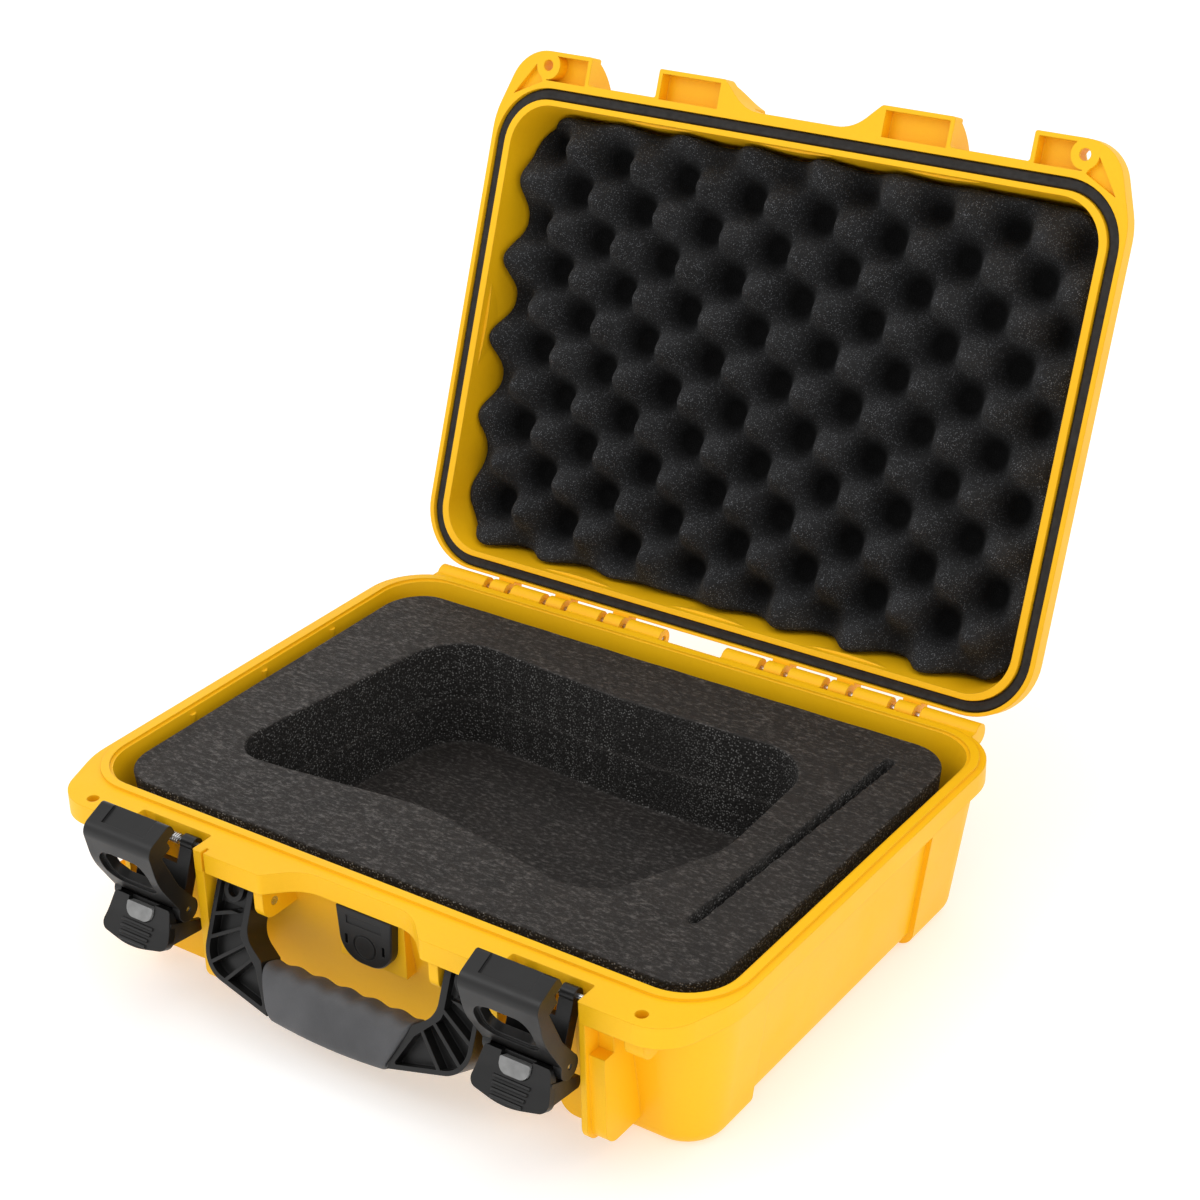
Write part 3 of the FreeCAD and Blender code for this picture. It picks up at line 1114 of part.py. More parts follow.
def biarc(p0, t0, p1, t1):
    """Two tangent arcs from p0 along t0 to p1 along t1."""
    chord = p1 - p0
    sum_t = t0 + t1
    a = sum_t.dot(sum_t) - 4
    b = -2 * chord.dot(sum_t)
    c = chord.dot(chord)
    d = (-b - math.sqrt(b * b - 4 * a * c)) / (2 * a)
    q0 = p0 + t0 * d
    q1 = p1 - t1 * d
    joint = (q0 + q1) * 0.5
    along = (q1 - q0).normalize()
    arcs = []
    for first, corner, last, u in ((p0, q0, joint, t0), (joint, q1, p1, along)):
        w = u if first is p0 else along
        out = along if first is p0 else t1
        weight = math.cos(w.getAngle(out) / 2)
        middle = (first + corner * (2 * weight) + last) * (1 / (2 + 2 * weight))
        arcs.append(Part.Arc(first, middle, last).toShape())
    return arcs


def latch_spring():
    """Torsion spring wound round the rod, one unbroken wire."""
    start = LATCH_X - SPRING_TURNS * SPRING_PITCH / 2
    climb = SPRING_PITCH / (2 * math.pi)

    def place(turn):
        """Point and direction of the wire after some turns."""
        a = 2 * math.pi * turn
        point = V(start + SPRING_PITCH * turn, ROD_Y + SPRING_MEAN_R * math.cos(a), ROD_Z + SPRING_MEAN_R * math.sin(a))
        way = V(climb, -SPRING_MEAN_R * math.sin(a), SPRING_MEAN_R * math.cos(a)).normalize()
        return point, way
    edges = []
    for step in range(SPRING_TURNS * 4):
        p0, t0 = place(step / 4)
        p1, t1 = place((step + 1) / 4)
        edges += biarc(p0, t0, p1, t1)
    path = Part.Wire(edges)
    p0, t0 = place(0)
    section = Part.Wire(Part.makeCircle(SPRING_WIRE_R, p0, t0))
    gap = SPRING_PITCH * SPRING_MEAN_R / math.hypot(SPRING_MEAN_R, climb) - 2 * SPRING_WIRE_R
    print("latch spring: least gap between turns", round(gap, 3), "mm")
    return path.makePipeShell([section], True, False)


def lever_out(shape):
    """Closed latch piece swung out with the lever."""
    turned = shape.copy()
    turned.rotate(V(0, ROD_Y, ROD_Z), X_AXIS, -LEVER_OPEN_DEG)
    return turned


def claw_out(shape):
    """Closed claw swung out on its pin, then with the lever."""
    turned = shape.copy()
    turned.rotate(V(0, CLAW_PIN_Y, CLAW_PIN_Z), X_AXIS, CLAW_OPEN_DEG)
    return lever_out(turned)


# Write every piece

def save(name, shape):
    """Writes one piece and prints its size."""
    solids = shape.Solids
    print(name, "solids", len(solids), "volume", round(shape.Volume, 1), "valid", shape.isValid())
    whole = solids[0] if len(solids) == 1 else Part.makeCompound(solids)
    whole.exportStep("parts/" + name + ".step")


def save_pair(name, shape):
    """Writes a right hand piece and its left hand twin."""
    save(name.format("right"), shape)
    save(name.format("left"), mirrored(shape))


save("base_shell", base_shell())
save("lid_shell", opened(lid_shell()))
save("lid_gasket", opened(lid_gasket()))
save("lid_foam", opened(lid_foam()))
save("base_foam_top", base_foam_top())
save("base_foam_side", base_foam_side())
save("base_foam_spacer_front", base_foam_spacer_front())
save("base_foam_spacer_rear", base_foam_spacer_rear())
save("base_foam_bottom", base_foam_bottom())
save_pair("hinge_pin_{}", hinge_pin())
save("handle_frame", leaned(handle_frame()))
save("handle_grip", leaned(handle_grip()))
save_pair("handle_pin_{}", handle_pin())
save("valve_body", valve_body())
save("valve_seal", valve_seal())
save("valve_membrane", valve_membrane())
save_pair("latch_{}_claw", claw_out(latch_claw()))
save_pair("latch_{}_lever", lever_out(latch_lever()))
save_pair("latch_{}_lock", lever_out(latch_lock()))
save_pair("latch_{}_rod", latch_rod())
save_pair("latch_{}_claw_pin", lever_out(latch_claw_pin()))
save_pair("latch_{}_spring", latch_spring())
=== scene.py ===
"""Looks of a yellow hard carrying case that stands open: resin shells, foam inserts, latches and handle."""
import math

import bmesh
import bpy
import numpy as np
from mathutils import Matrix, Vector


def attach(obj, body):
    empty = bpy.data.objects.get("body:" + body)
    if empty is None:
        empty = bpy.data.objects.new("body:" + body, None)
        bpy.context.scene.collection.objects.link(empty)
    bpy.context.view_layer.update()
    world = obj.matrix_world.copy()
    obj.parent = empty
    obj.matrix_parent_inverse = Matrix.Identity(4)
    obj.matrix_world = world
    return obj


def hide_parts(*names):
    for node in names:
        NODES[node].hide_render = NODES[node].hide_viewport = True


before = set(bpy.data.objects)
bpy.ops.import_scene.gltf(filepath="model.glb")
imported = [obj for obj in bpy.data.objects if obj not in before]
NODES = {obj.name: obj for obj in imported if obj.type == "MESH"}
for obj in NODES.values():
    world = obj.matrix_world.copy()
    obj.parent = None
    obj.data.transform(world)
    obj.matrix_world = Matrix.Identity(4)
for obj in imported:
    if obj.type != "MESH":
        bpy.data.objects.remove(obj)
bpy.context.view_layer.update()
MM = 0.001

# Places that follow the solids, in millimetres
LID_Z = 98.3
HINGE_Y, HINGE_Z = 159.3, 94.65
LID_OPEN = math.radians(110.2)
HANDLE_Y, HANDLE_Z = -160.5, 75.0
HANDLE_LEAN = math.radians(22.0)


# Mesh helpers

def turned(points, pivot_y, pivot_z, angle):
    """Turns points about a line along X through (pivot_y, pivot_z)."""
    c, s = math.cos(angle), math.sin(angle)
    y, z = points[..., 1] - pivot_y, points[..., 2] - pivot_z
    return np.stack([points[..., 0], pivot_y + y * c + z * s, pivot_z - y * s + z * c], -1)


def lid_place(points):
    """Turns points of the closed lid about the hinge line by the opening angle."""
    return turned(points, HINGE_Y, HINGE_Z, LID_OPEN)


def handle_place(points):
    """Turns points of the upright handle about its pins by the resting lean."""
    return turned(points, HANDLE_Y, HANDLE_Z, HANDLE_LEAN)


def smooth_step(t):
    """3 t^2 - 2 t^3 for t from 0 to 1."""
    return t * t * (3 - 2 * t)


def grid_faces(rows, columns, wrap_rows=False, wrap_columns=False):
    """Quads of a grid of points in row order; a wrapped way joins its last line to its first."""
    i = np.arange(rows if wrap_rows else rows - 1)
    j = np.arange(columns if wrap_columns else columns - 1)
    a, b = np.meshgrid(i, j, indexing="ij")
    a2, b2 = (a + 1) % rows, (b + 1) % columns
    return np.stack([a * columns + b, a * columns + b2, a2 * columns + b2, a2 * columns + b], -1).reshape(-1, 4)


def piece(name, points, faces, material, body):
    """Mesh object from millimetre points and quads, smooth, riding on a CAD body."""
    mesh = bpy.data.meshes.new(name)
    mesh.from_pydata((points.reshape(-1, 3) * MM).tolist(), [], faces.tolist())
    mesh.polygons.foreach_set("use_smooth", np.ones(len(mesh.polygons), bool))
    mesh.validate()
    obj = bpy.data.objects.new(name, mesh)
    bpy.context.scene.collection.objects.link(obj)
    obj.data.materials.append(material)
    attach(obj, body)
    return obj


def outline(corners, per_corner, count):
    """Closed rounded outline, resampled to count even steps.

    Each corner (x, y, r) is an arc tangent to both sides, its centre r / sin(half angle) from the corner.
    """
    p = np.array([c[:2] for c in corners], float)
    r = np.array([c[2] for c in corners], float)
    a = np.roll(p, 1, 0) - p
    b = np.roll(p, -1, 0) - p
    a /= np.linalg.norm(a, axis=1, keepdims=True)
    b /= np.linalg.norm(b, axis=1, keepdims=True)
    half = np.arccos(np.clip((a * b).sum(1), -1, 1)) / 2
    mid = a + b
    mid /= np.linalg.norm(mid, axis=1, keepdims=True)
    centre = p + mid * (r / np.sin(half))[:, None]
    start = p + a * (r / np.tan(half))[:, None] - centre
    end = p + b * (r / np.tan(half))[:, None] - centre
    a0 = np.arctan2(start[:, 1], start[:, 0])
    turn = np.arctan2(end[:, 1], end[:, 0]) - a0
    turn = (turn + np.pi) % (2 * np.pi) - np.pi
    t = np.linspace(0, 1, per_corner)
    ang = a0[:, None] + turn[:, None] * t[None]
    loop = centre[:, None] + r[:, None, None] * np.stack([np.cos(ang), np.sin(ang)], -1)
    loop = loop.reshape(-1, 2)
    closed = np.vstack([loop, loop[:1]])
    run = np.concatenate([[0], np.cumsum(np.linalg.norm(np.diff(closed, axis=0), axis=1))])
    at = np.linspace(0, run[-1], count, endpoint=False)
    return np.stack([np.interp(at, run, closed[:, k]) for k in (0, 1)], -1)


def rounded_rect(half_x, half_y, r, count, centre_y=0.0):
    """Outline of a rounded rectangle."""
    signs = ((-1, -1), (1, -1), (1, 1), (-1, 1))
    return outline([(sx * half_x, centre_y + sy * half_y, r) for sx, sy in signs], 40, count)


def by_angle(loop, centre, angles):
    """Points of a star-shaped outline at given angles about a centre."""
    d = loop - centre
    ang = np.unwrap(np.arctan2(d[:, 1], d[:, 0]))
    order = np.argsort(ang % (2 * np.pi))
    ang, d = (ang % (2 * np.pi))[order], d[order]
    ang = np.concatenate([ang - 2 * np.pi, ang, ang + 2 * np.pi])
    d = np.vstack([d, d, d])
    return centre + np.stack([np.interp(angles, ang, d[:, k]) for k in (0, 1)], -1)


# Materials

class Nodes:
    """Small builder of one procedural material on Object coordinates."""

    def __init__(self, name):
        self.mat = bpy.data.materials.new(name)
        self.mat.use_nodes = True
        self.tree = self.mat.node_tree
        self.bsdf = self.tree.nodes["Principled BSDF"]
        self.place = self.tree.nodes.new("ShaderNodeTexCoord").outputs["Object"]

    def put(self, kind, **values):
        """Adds a node; values whose names are sockets set them, others set properties."""
        node = self.tree.nodes.new(kind)
        for key, value in values.items():
            sockets = [s for s in node.inputs if s.name == key.replace("_", " ")]
            if key.islower() and not sockets:
                setattr(node, key, value)
            elif isinstance(value, bpy.types.NodeSocket):
                self.tree.links.new(value, sockets[0])
            else:
                sockets[0].default_value = value
        return node

    def scaled(self, x, y, z):
        """Object coordinates stretched by three factors."""
        return self.put("ShaderNodeMapping", Vector=self.place, Scale=(x, y, z)).outputs["Vector"]

    def noise(self, scale, detail=3.0, rough=0.5, vector=None):
        """Fractal noise value."""
        return self.put("ShaderNodeTexNoise", Vector=vector or self.place, Scale=scale, Detail=detail,
                        Roughness=rough).outputs["Fac"]

    def ramp(self, fac, stops):
        """Colour ramp through (position, grey or colour) stops."""
        node = self.put("ShaderNodeValToRGB", Fac=fac)
        ramp = node.color_ramp
        while len(ramp.elements) < len(stops):
            ramp.elements.new(0.5)
        for element, (position, colour) in zip(ramp.elements, stops):
            element.position = position
            element.color = (*colour, 1) if isinstance(colour, tuple) else (colour, colour, colour, 1)
        return node.outputs["Color"]

    def mix(self, fac, a, b):
        """Colour between a and b."""
        node = self.tree.nodes.new("ShaderNodeMix")
        node.data_type = "RGBA"
        for index, value in ((0, fac), (6, a), (7, b)):
            if isinstance(value, bpy.types.NodeSocket):
                self.tree.links.new(value, node.inputs[index])
            else:
                grey = (value, value, value, 1)
                flat = value if index == 0 else grey
                node.inputs[index].default_value = (*value, 1) if isinstance(value, tuple) else flat
        return node.outputs[2]

    def maths(self, operation, a, b):
        """One step of arithmetic."""
        node = self.tree.nodes.new("ShaderNodeMath")
        node.operation = operation
        for index, value in enumerate((a, b)):
            if isinstance(value, bpy.types.NodeSocket):
                self.tree.links.new(value, node.inputs[index])
            else:
                node.inputs[index].default_value = value
        return node.outputs[0]

    def bump(self, height, strength, distance, normal=None):
        """Bump from a height value."""
        node = self.put("ShaderNodeBump", Height=height, Strength=strength, Distance=distance)
        if normal is not None:
            self.tree.links.new(normal, node.inputs["Normal"])
        return node.outputs["Normal"]

    def soft_edges(self, radius):
        """Normal that rounds sharp moulded edges."""
        return self.put("ShaderNodeBevel", samples=6, Radius=radius).outputs["Normal"]

    def shade(self, **values):
        """Links or sets sockets of the main shader."""
        for key, value in values.items():
            socket = self.bsdf.inputs[key.replace("_", " ")]
            if isinstance(value, bpy.types.NodeSocket):
                self.tree.links.new(value, socket)
            else:
                socket.default_value = (*value, 1) if isinstance(value, tuple) and len(value) == 3 else value
        return self.mat


def resin_material():
    """Yellow moulded resin: slow colour drift, fine spark-eroded grain, satin gloss that varies."""
    n = Nodes("case_resin")
    drift = n.ramp(n.noise(7, 3), [(0.3, (0.92, 0.480, 0.0030)), (0.7, (0.97, 0.535, 0.0045))])
    speck = n.ramp(n.noise(420, 2, 0.6), [(0.28, 0.9), (0.5, 1.0)])
    colour = n.mix(speck, (0.80, 0.38, 0.002), drift)
    rough = n.ramp(n.noise(26, 4), [(0.3, 0.40), (0.75, 0.52)])
    grain = n.noise(1500, 3, 0.6)
    normal = n.bump(grain, 0.10, 0.0004, n.bump(n.noise(14, 2), 0.05, 0.004, n.soft_edges(0.0008)))
    return n.shade(Base_Color=colour, Roughness=rough, Normal=normal, Specular_IOR_Level=0.28)


def nylon_material():
    """Black moulded nylon: faint brown-grey drift, scuffs and a fine grain."""
    n = Nodes("black_nylon")
    drift = n.ramp(n.noise(30, 4), [(0.3, (0.0045, 0.0043, 0.0042)), (0.75, (0.009, 0.0084, 0.008))])
    scuff = n.ramp(n.noise(90, 6, 0.7, n.scaled(1, 1, 3)), [(0.62, 0.0), (0.74, 0.35)])
    colour = n.mix(scuff, drift, (0.022, 0.021, 0.020))
    rough = n.ramp(n.noise(60, 4), [(0.3, 0.30), (0.7, 0.44)])
    normal = n.bump(n.noise(1300, 3), 0.12, 0.0004, n.soft_edges(0.0006))
    return n.shade(Base_Color=colour, Roughness=rough, Normal=normal, Specular_IOR_Level=0.38)


def grip_material():
    """Charcoal rubber of the grip: matt with a close pebble."""
    n = Nodes("grip_rubber")
    colour = n.ramp(n.noise(45, 4), [(0.3, (0.050, 0.050, 0.053)), (0.7, (0.072, 0.072, 0.076))])
    pebble = n.put("ShaderNodeTexVoronoi", Vector=n.place, Scale=900.0).outputs["Distance"]
    rough = n.ramp(n.noise(80, 3), [(0.3, 0.5), (0.7, 0.66)])
    return n.shade(Base_Color=colour, Roughness=rough, Normal=n.bump(pebble, 0.2, 0.0005))


def lock_material():
    """Grey slide: satin plastic with rubbed patches."""
    n = Nodes("lock_grey")
    colour = n.ramp(n.noise(160, 4), [(0.3, (0.17, 0.17, 0.168)), (0.7, (0.25, 0.25, 0.246))])
    return n.shade(Base_Color=colour, Roughness=n.ramp(n.noise(200, 3), [(0.3, 0.3), (0.7, 0.45)]),
                   Normal=n.bump(n.noise(1400, 2), 0.1, 0.0003, n.soft_edges(0.0004)))


def seal_material():
    """Dark brown seal rubber with a dusty bloom."""
    n = Nodes("seal_rubber")
    colour = n.ramp(n.noise(120, 5, 0.65), [(0.35, (0.007, 0.006, 0.0052)), (0.7, (0.014, 0.0115, 0.010))])
    return n.shade(Base_Color=colour, Roughness=n.ramp(n.noise(300, 3), [(0.3, 0.6), (0.7, 0.8)]),
                   Normal=n.bump(n.noise(900, 3), 0.2, 0.0004))


def lid_foam_material():
    """Charcoal open-cell foam: small pits, pale specks on single cells that are painted glints, and painted
    shade that darkens the colour down in the hollows.
    """
    n = Nodes("lid_foam_cells")
    drift = n.ramp(n.noise(40, 4), [(0.3, (0.018, 0.018, 0.0185)), (0.7, (0.030, 0.030, 0.031))])
    # Painted glints: pale specks on a share of the cells, standing in for the sparkle of the open cells.
    cells = n.put("ShaderNodeTexVoronoi", Vector=n.place, Scale=1150.0)
    chosen = n.ramp(cells.outputs["Color"], [(0.40, 0.0), (0.80, 1.0)])
    painted_glint_dots = n.maths("MULTIPLY", n.ramp(cells.outputs["Distance"], [(0.20, 1.0), (0.46, 0.0)]), chosen)
    # Painted shade: the height attribute turns the colour towards near black down in the hollows, where shade
    # falls.
    depth = n.put("ShaderNodeAttribute", attribute_name="height").outputs["Fac"]
    painted_hollow_shade = n.ramp(depth, [(0.10, 0.04), (0.62, 1.0)])
    colour = n.mix(n.maths("MULTIPLY", painted_glint_dots, 0.5), drift, (0.30, 0.31, 0.33))
    shaded = n.mix(painted_hollow_shade, (0.0015, 0.0015, 0.0015), colour)
    normal = n.bump(cells.outputs["Distance"], 0.5, 0.0012, n.bump(n.noise(160, 4), 0.25, 0.002))
    return n.shade(Base_Color=shaded, Roughness=0.95, Normal=normal, Specular_IOR_Level=0.12)


def base_foam_material():
    """Brown-black foam: short shiny strokes along X on its skin with painted highlights in their colour, pale
    specks on its cut sides that are painted glints.
    """
    n = Nodes("base_foam_fibres")
    up = n.put("ShaderNodeSeparateXYZ", Vector=n.put("ShaderNodeNewGeometry").outputs["Normal"]).outputs["Z"]
    skin = n.ramp(up, [(0.55, 0.0), (0.8, 1.0)])
    stroke = n.noise(420, 5, 0.75, n.scaled(0.6, 1.3, 1.0))
    ground = n.ramp(n.noise(50, 5, 0.65), [(0.3, (0.008, 0.0060, 0.0047)), (0.72, (0.018, 0.0138, 0.0112))])
    # Painted highlights: the strokes lighten the skin's colour as well as making it glossier.
    painted_stroke_highlight = n.ramp(stroke, [(0.52, 0.0), (0.67, 1.0)])
    top = n.mix(n.maths("MULTIPLY", painted_stroke_highlight, 0.55), ground, (0.17, 0.154, 0.142))
    # Painted glints: pale specks on a share of the cells of the cut sides, standing in for their sparkle.
    cells = n.put("ShaderNodeTexVoronoi", Vector=n.place, Scale=780.0)
    chosen = n.ramp(cells.outputs["Color"], [(0.25, 0.0), (0.80, 1.0)])
    painted_glint_dots = n.maths("MULTIPLY", n.ramp(cells.outputs["Distance"], [(0.16, 1.0), (0.46, 0.0)]), chosen)
    cut = n.mix(painted_glint_dots, (0.011, 0.0095, 0.0082), (0.25, 0.245, 0.235))
    rough = n.mix(skin, 0.9, n.ramp(stroke, [(0.4, 0.75), (0.7, 0.34)]))
    height = n.mix(skin, cells.outputs["Distance"], stroke)
    normal = n.bump(height, 0.75, 0.0014, n.bump(n.noise(80, 4), 0.3, 0.003))
    return n.shade(Base_Color=n.mix(skin, cut, top), Roughness=rough, Normal=normal, Specular_IOR_Level=0.4)


def steel_material():
    """Bright drawn steel with fine lines along X."""
    n = Nodes("drawn_steel")
    lines = n.noise(900, 3, 0.6, n.scaled(0.02, 1, 1))
    return n.shade(Base_Color=n.ramp(lines, [(0.3, 0.5), (0.7, 0.68)]), Metallic=1.0,
                   Roughness=n.ramp(lines, [(0.3, 0.2), (0.7, 0.34)]), Normal=n.bump(lines, 0.05, 0.0003))


def membrane_material():
    """Pale breathing disc with a felt-like grain."""
    n = Nodes("membrane_felt")
    return n.shade(Base_Color=n.ramp(n.noise(600, 4), [(0.3, 0.5), (0.7, 0.7)]), Roughness=0.9,
                   Normal=n.bump(n.noise(900, 4), 0.3, 0.0004))


RESIN, NYLON, GRIP, LOCK = resin_material(), nylon_material(), grip_material(), lock_material()
SEAL, LID_FOAM, BASE_FOAM = seal_material(), lid_foam_material(), base_foam_material()
STEEL, MEMBRANE = steel_material(), membrane_material()

UPPER_FOAM = ("base_foam_top", "base_foam_side", "base_foam_spacer_front", "base_foam_spacer_rear")
LOWER_FOAM = ("base_foam_bottom",)
FINISH = {"base_shell": RESIN, "lid_shell": RESIN, "handle_frame": NYLON, "handle_grip": GRIP,
          "valve_body": NYLON, "valve_seal": SEAL, "valve_membrane": MEMBRANE,
          "lid_gasket": SEAL, "lid_foam": LID_FOAM}
for node in UPPER_FOAM + LOWER_FOAM:
    FINISH[node] = BASE_FOAM
for side in ("left", "right"):
    FINISH.update({f"hinge_pin_{side}": STEEL, f"handle_pin_{side}": STEEL, f"latch_{side}_claw": NYLON,
                   f"latch_{side}_lever": NYLON, f"latch_{side}_lock": LOCK, f"latch_{side}_rod": STEEL,
                   f"latch_{side}_claw_pin": STEEL, f"latch_{side}_spring": STEEL})
for node, material in FINISH.items():
    NODES[node].data.materials.clear()
    NODES[node].data.materials.append(material)


# Lid foam

def lid_foam():
    """Egg-crate slab with staggered peaks, turned a little to the walls as the sheet was cut.

    The height is cos(2 pi along / pitch_x) * cos(pi across / pitch_y), raised to a power. Towards the border
    it levels out and flares past the back by a smooth step. The grid is squeezed into rounded corners, and a
    back and sides close it.
    """
    half_x, half_y, corner = 188.6, 131.6, 20.0
    pitch_x, pitch_y, first_row, shift, turn = 48.6, 25.2, -104.4, 18.8, 0.08
    back, valley, peak = LID_Z + 48.6, LID_Z + 33.0, LID_Z + 3.2
    border, roll, roll_h = 15.0, 2.5, 3.0
    level, level_share, power = 0.80, 0.38, 1.35
    flare_low, flare_more = 2.6, 3.2
    nx, ny = 252, 176
    u, v = np.meshgrid(np.linspace(-1, 1, nx), np.linspace(-1, 1, ny), indexing="ij")
    x, y = u * half_x, v * half_y
    ax, ay = np.abs(x) - (half_x - corner), np.abs(y) - (half_y - corner)
    inside = (ax > 0) & (ay > 0)
    pull = np.where(inside, np.maximum(ax, ay) / np.maximum(np.hypot(ax, ay), 1e-9), 1.0)
    x = np.where(inside, np.sign(x) * (half_x - corner + ax * pull), x)
    y = np.where(inside, np.sign(y) * (half_y - corner + ay * pull), y)
    along, across = x + turn * y + shift, y - turn * x - first_row
    wave = np.cos(2 * np.pi * along / pitch_x) * np.cos(np.pi * across / pitch_y)
    edge = np.clip((1 - np.maximum(np.abs(u), np.abs(v))) * half_y / roll, 0, 1)
    lift = (0.5 + 0.5 * wave) ** power
    away = np.clip(1 - np.minimum(half_x - np.abs(x), half_y - np.abs(y)) / border, 0, 1)
    soft = smooth_step(away)
    flare = flare_low + flare_more * lift
    lift = lift + (level - lift) * level_share * soft
    z = valley + (peak - valley) * lift
    z = z + (1 - np.sqrt(1 - (1 - edge) ** 2)) * roll_h
    rear_x, rear_y = x, y
    x = x + np.sign(x) * flare * soft * np.clip(1 - (half_x - np.abs(x)) / border, 0, 1)
    y = y + np.sign(y) * flare * soft * np.clip(1 - (half_y - np.abs(y)) / border, 0, 1)
    face = np.stack([x, y, z], -1)
    rear = np.stack([rear_x, rear_y, np.full_like(x, back)], -1)
    count = nx * ny
    ring = np.concatenate([np.arange(nx) * ny,
                           (nx - 1) * ny + np.arange(1, ny),
                           np.arange(nx - 2, -1, -1) * ny + ny - 1,
                           np.arange(ny - 2, 0, -1)])
    nxt = np.roll(ring, -1)
    front_faces = grid_faces(nx, ny)[:, ::-1]
    sides = np.stack([ring, nxt, nxt + count, ring + count], -1)[:, ::-1]
    faces = np.vstack([front_faces, grid_faces(nx, ny) + count, sides])
    points = lid_place(np.vstack([face.reshape(-1, 3), rear.reshape(-1, 3)]))
    obj = piece("lid_foam_egg_crate", points, faces, LID_FOAM, "lid")
    # The height of each point is kept for the material, which paints shade into the hollows from it.
    height = obj.data.attributes.new("height", "FLOAT", "POINT")
    height.data.foreach_set("value", np.concatenate([lift.ravel(), np.zeros(count)]).astype(np.float32))
    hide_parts("lid_foam")


# Base foam

FOAM_TOP, FOAM_FLOOR, FOAM_SPLIT, POCKET_FLOOR = 96.5, 7.0, 58.0, 28.0
LAYER_GAP = 0.3
FOAM_TAPER, SHELL_FLOOR = 8.0, 6.5     # how much narrower the foam is at the shell's floor
FOAM_EDGE_R, POCKET_FLOOR_R = 1.6, 3.0
FOAM_STEPS = 640
FOAM_CENTRE = np.array([0.0, 0.0])
POCKET = [(-157.0, -84.0, 20.0), (-108.0, -80.0, 60.0), (-20.0, -70.0, 120.0), (100.0, -96.0, 34.0),
          (134.0, -20.0, 60.0), (130.0, 84.0, 34.0), (0.0, 82.0, 120.0), (-132.0, 94.0, 34.0)]
SLIT_FRONT, SLIT_REAR = np.array([155.5, -83.0]), np.array([163.5, 102.0])
SLIT_HALF, SLIT_SOFT, SLIT_DEPTH = 2.7, 0.5, 33.0


def foam_loops():
    """Outer outline of the foam's top and the pocket's outline, both at the same angles about the middle."""
    angles = np.linspace(0, 2 * np.pi, FOAM_STEPS, endpoint=False)
    outer = by_angle(rounded_rect(192.3, 131.8, 26.0, 4000, -3.0), FOAM_CENTRE, angles)
    pocket = by_angle(outline(POCKET, 60, 4000), FOAM_CENTRE, angles)
    return outer, pocket


def inset(loop, amount):
    """Outline drawn in towards the middle by a length along each ray."""
    d = loop - FOAM_CENTRE
    r = np.linalg.norm(d, axis=1, keepdims=True)
    return FOAM_CENTRE + d * (r - amount) / r


def foam_layer(name, low, high, through, nodes, seed):
    """Rings from the bottom's inner edge round the outer side, over the top and down the pocket's wall.

    Edges are quarter circles and sides taper with depth. The top sinks along the slit by a smooth step of the
    distance to its middle line, and waves a little by a sum of sines.
    """
    outer, pocket = foam_loops()
    taper = FOAM_TAPER / (FOAM_TOP - SHELL_FLOOR)
    rings = []

    def ring(loop, z):
        """Adds one level ring."""
        rings.append(np.column_stack([loop, np.full(len(loop), z)]))

    bend = np.linspace(0, np.pi / 2, 5)
    radius, floor_r = FOAM_EDGE_R, POCKET_FLOOR_R
    rim = inset(outer, taper * (FOAM_TOP - high))
    foot = inset(outer, taper * (FOAM_TOP - low))
    ring(pocket if through else inset(pocket, 60.0), low)
    ring(inset(foot, 0.6), low)
    for t in np.linspace(0.02, 1, 14):
        ring(foot + (rim - foot) * t, low + (high - radius - low) * t)
    for a in bend[1:]:
        ring(inset(rim, radius * (1 - np.cos(a))), high - radius + radius * np.sin(a))
    first, last = inset(rim, radius), inset(pocket, -radius)
    for t in np.linspace(0, 1, 70)[1:]:
        ring(first + (last - first) * t, high)
    for a in bend[1:]:
        ring(inset(pocket, -radius + radius * np.sin(a)), high - radius + radius * np.cos(a))
    end = low if through else POCKET_FLOOR + floor_r
    for t in np.linspace(0, 1, 12)[1:]:
        ring(pocket, high - radius + (end - high + radius) * t)
    if not through:
        for a in bend[1:]:
            ring(inset(pocket, floor_r * (1 - np.cos(a))), POCKET_FLOOR + floor_r - floor_r * np.sin(a))
        for t in np.linspace(0, 1, 12)[1:]:
            ring(FOAM_CENTRE + (inset(pocket, floor_r) - FOAM_CENTRE) * (1 - t * 0.995), POCKET_FLOOR)
    points = np.array(rings)
    if through:
        run = SLIT_REAR - SLIT_FRONT
        along = ((points[..., :2] - SLIT_FRONT) @ run) / (run @ run)
        near = SLIT_FRONT + np.clip(along, 0, 1)[..., None] * run
        away = np.linalg.norm(points[..., :2] - near, axis=-1)
        step = np.clip((SLIT_HALF + SLIT_SOFT - away) / (2 * SLIT_SOFT), 0, 1)
        top = points[..., 2] > high - 0.01
        points[..., 2] -= np.where(top, smooth_step(step) * SLIT_DEPTH, 0)
    rng = np.random.default_rng(seed)
    ripple = rng.normal(0, 1, (4, 5))
    x, y = points[..., 0], points[..., 1]
    wave = sum(r[0] * 0.12 * np.sin(x * (0.02 + 0.02 * abs(r[1])) + y * 0.03 * r[2] + r[3] * 3) for r in ripple)
    points[..., 2] -= np.where(points[..., 2] > high - 2.5, np.abs(wave), 0)
    faces = grid_faces(len(rings), FOAM_STEPS, wrap_rows=through, wrap_columns=True)
    obj = piece(name, points, faces, BASE_FOAM, "base")
    if not through:
        last_ring = (len(rings) - 1) * FOAM_STEPS
        caps = [range(FOAM_STEPS), range(last_ring + FOAM_STEPS - 1, last_ring - 1, -1)]
        bm = bmesh.new()
        bm.from_mesh(obj.data)
        bm.verts.ensure_lookup_table()
        for cap in caps:
            bm.faces.new([bm.verts[k] for k in cap])
        bmesh.ops.recalc_face_normals(bm, faces=bm.faces)
        bm.to_mesh(obj.data)
        bm.free()
    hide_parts(*nodes)


# Gasket

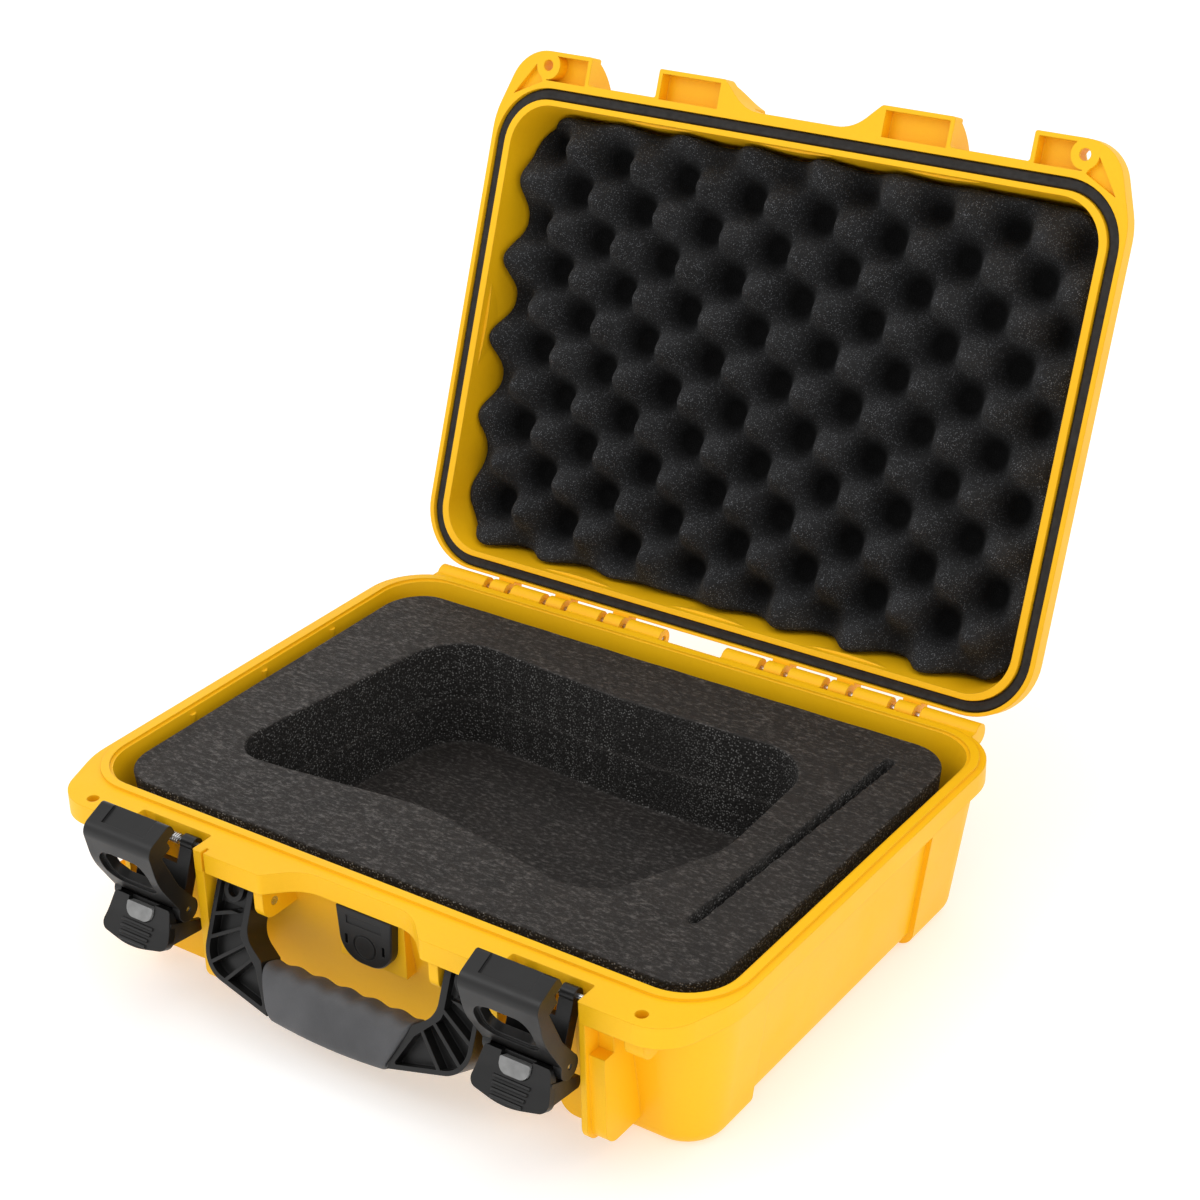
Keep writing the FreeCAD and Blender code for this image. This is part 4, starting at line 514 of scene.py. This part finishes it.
def gasket():
    """Seal ring: a domed strip profile with a shallow dent along its middle, carried round the seal line."""
    t = np.linspace(0, 2 * np.pi, 28, endpoint=False)
    across = 3.15 * np.sign(np.cos(t)) * np.abs(np.cos(t)) ** 0.6
    up = 1.8 * np.sign(np.sin(t)) * np.abs(np.sin(t)) ** 0.6
    dent = 0.7 * np.exp(-(across / 1.1) ** 2) * (up < 0)
    middle = LID_Z + 6.0 - 0.3 - 1.85
    path = rounded_rect(205.5, 147.4, 33.0, 720)
    step = np.roll(path, -1, 0) - np.roll(path, 1, 0)
    step /= np.linalg.norm(step, axis=1, keepdims=True)
    out = np.stack([step[:, 1], -step[:, 0]], -1)
    flat = path[:, None] + out[:, None] * across[None, :, None]
    z = np.broadcast_to(middle + up + dent, flat.shape[:2])
    points = lid_place(np.dstack([flat, z]))
    faces = grid_faces(len(path), len(t), True, True)
    obj = piece("lid_seal_ring", points, faces, SEAL, "lid")
    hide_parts("lid_gasket")


# Grip

def grip():
    """Sleeve: a rounded-square section whose upper side swells in finger bumps along X by cos^2(pi x / pitch).

    Its half length grows with height, its underside bows up by (x / half)^2, its rims are rounded by a quarter
    circle, and an inner wall closes it.
    """
    n, m, inner_n = 220, 72, 12
    bump_h, bump_pitch, bow_h, bow_half, drop = 1.5, 17.0, 2.2, 38.0, 47.0
    s = np.linspace(-1, 1, n)[:, None]
    t = np.linspace(0, 2 * np.pi, m, endpoint=False)
    c, w = np.cos(t)[None], np.sin(t)[None]

    def section(ry, rz):
        """Rounded square as a power of the circle."""
        return ry * np.sign(c) * np.abs(c) ** 0.62, rz * np.sign(w) * np.abs(w) ** 0.62

    sec_y, sec_z = section(10.5, 15.4)
    in_y, in_z = section(8.3, 13.2)
    half = 49.6 - 12.0 * (15.6 - sec_z) / 31.2
    rim = 1 - np.sqrt(np.clip(1 - np.clip((np.abs(s) - 0.955) / 0.045, 0, 1) ** 2, 0, 1))
    x = s * half
    bump = bump_h * np.cos(np.pi * x / bump_pitch) ** 2 * np.clip(w, 0, 1) ** 0.5 * (1 - rim)
    bow = bow_h * (x / bow_half) ** 2 * np.clip(-w, 0, 1)
    outer = np.dstack([x, sec_y + (in_y - sec_y) * rim, sec_z + (in_z - sec_z) * rim + bump + bow])
    back = np.linspace(0.97, -0.97, inner_n)[:, None] * half
    inner = np.dstack([back, np.broadcast_to(in_y, back.shape), np.broadcast_to(in_z, back.shape)])
    points = handle_place(np.vstack([outer, inner]) + np.array([0.0, HANDLE_Y, HANDLE_Z - drop]))
    faces = grid_faces(n + inner_n, m, True, True)
    obj = piece("handle_grip_sleeve", points, faces, GRIP, "handle")
    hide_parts("handle_grip")


# Studio

def studio():
    """Pale floor that runs into a pale surround, three soft lamps and the photograph's camera."""
    size = 6.0
    mesh = bpy.data.meshes.new("floor")
    corners = [(-size, -size, 0), (size, -size, 0), (size, size, 0), (-size, size, 0)]
    mesh.from_pydata(corners, [], [(0, 1, 2, 3)])
    floor = bpy.data.objects.new("floor", mesh)
    bpy.context.scene.collection.objects.link(floor)
    n = Nodes("studio_floor")
    pale = n.ramp(n.noise(3, 2), [(0.3, 0.70), (0.7, 0.72)])
    floor.data.materials.append(n.shade(Base_Color=pale, Roughness=0.8, Specular_IOR_Level=0.1,
                                        Emission_Color=(1, 1, 1), Emission_Strength=0.42))
    world = bpy.data.worlds.new("studio")
    bpy.context.scene.world = world
    bpy.context.scene.view_settings.view_transform = "Standard"
    world.use_nodes = True
    surround = world.node_tree.nodes["Background"]
    surround.inputs["Color"].default_value = (1, 1, 1, 1)
    surround.inputs["Strength"].default_value = 0.95

    def lamp(name, place, aim, power, wide):
        """Square area lamp that faces a point."""
        data = bpy.data.lights.new(name, "AREA")
        data.energy, data.size = power, wide
        obj = bpy.data.objects.new(name, data)
        obj.location = place
        obj.rotation_mode = "QUATERNION"
        obj.rotation_quaternion = (Vector(aim) - Vector(place)).to_track_quat("-Z", "Y")
        bpy.context.scene.collection.objects.link(obj)

    lamp("key", (-1.1, -1.5, 2.1), (0, 0, 0.15), 11, 1.3)
    lamp("fill", (1.9, -0.9, 1.1), (0, 0, 0.15), 3, 1.4)
    lamp("top", (0.2, 0.4, 2.4), (0, 0, 0.1), 6, 1.6)
    right = (0.8225, 0.5683, -0.0216)
    down = (0.2431, -0.3856, -0.8901)
    look = (-0.5142, 0.7268, -0.4554)
    camera = bpy.data.cameras.new("camera")
    camera.sensor_width, camera.lens = 36.0, 76.18
    camera.clip_start, camera.clip_end = 0.01, 50
    obj = bpy.data.objects.new("camera", camera)
    axes = Matrix((right, [-d for d in down], [-k for k in look])).transposed()
    obj.matrix_world = Matrix.Translation((0.7277, -0.9660, 0.8136)) @ axes.to_4x4()
    bpy.context.scene.collection.objects.link(obj)
    bpy.context.scene.camera = obj


lid_foam()
foam_layer("base_foam_upper", FOAM_SPLIT, FOAM_TOP, True, UPPER_FOAM, 3)
foam_layer("base_foam_lower", FOAM_FLOOR, FOAM_SPLIT - LAYER_GAP, False, LOWER_FOAM, 5)
gasket()
grip()
studio()
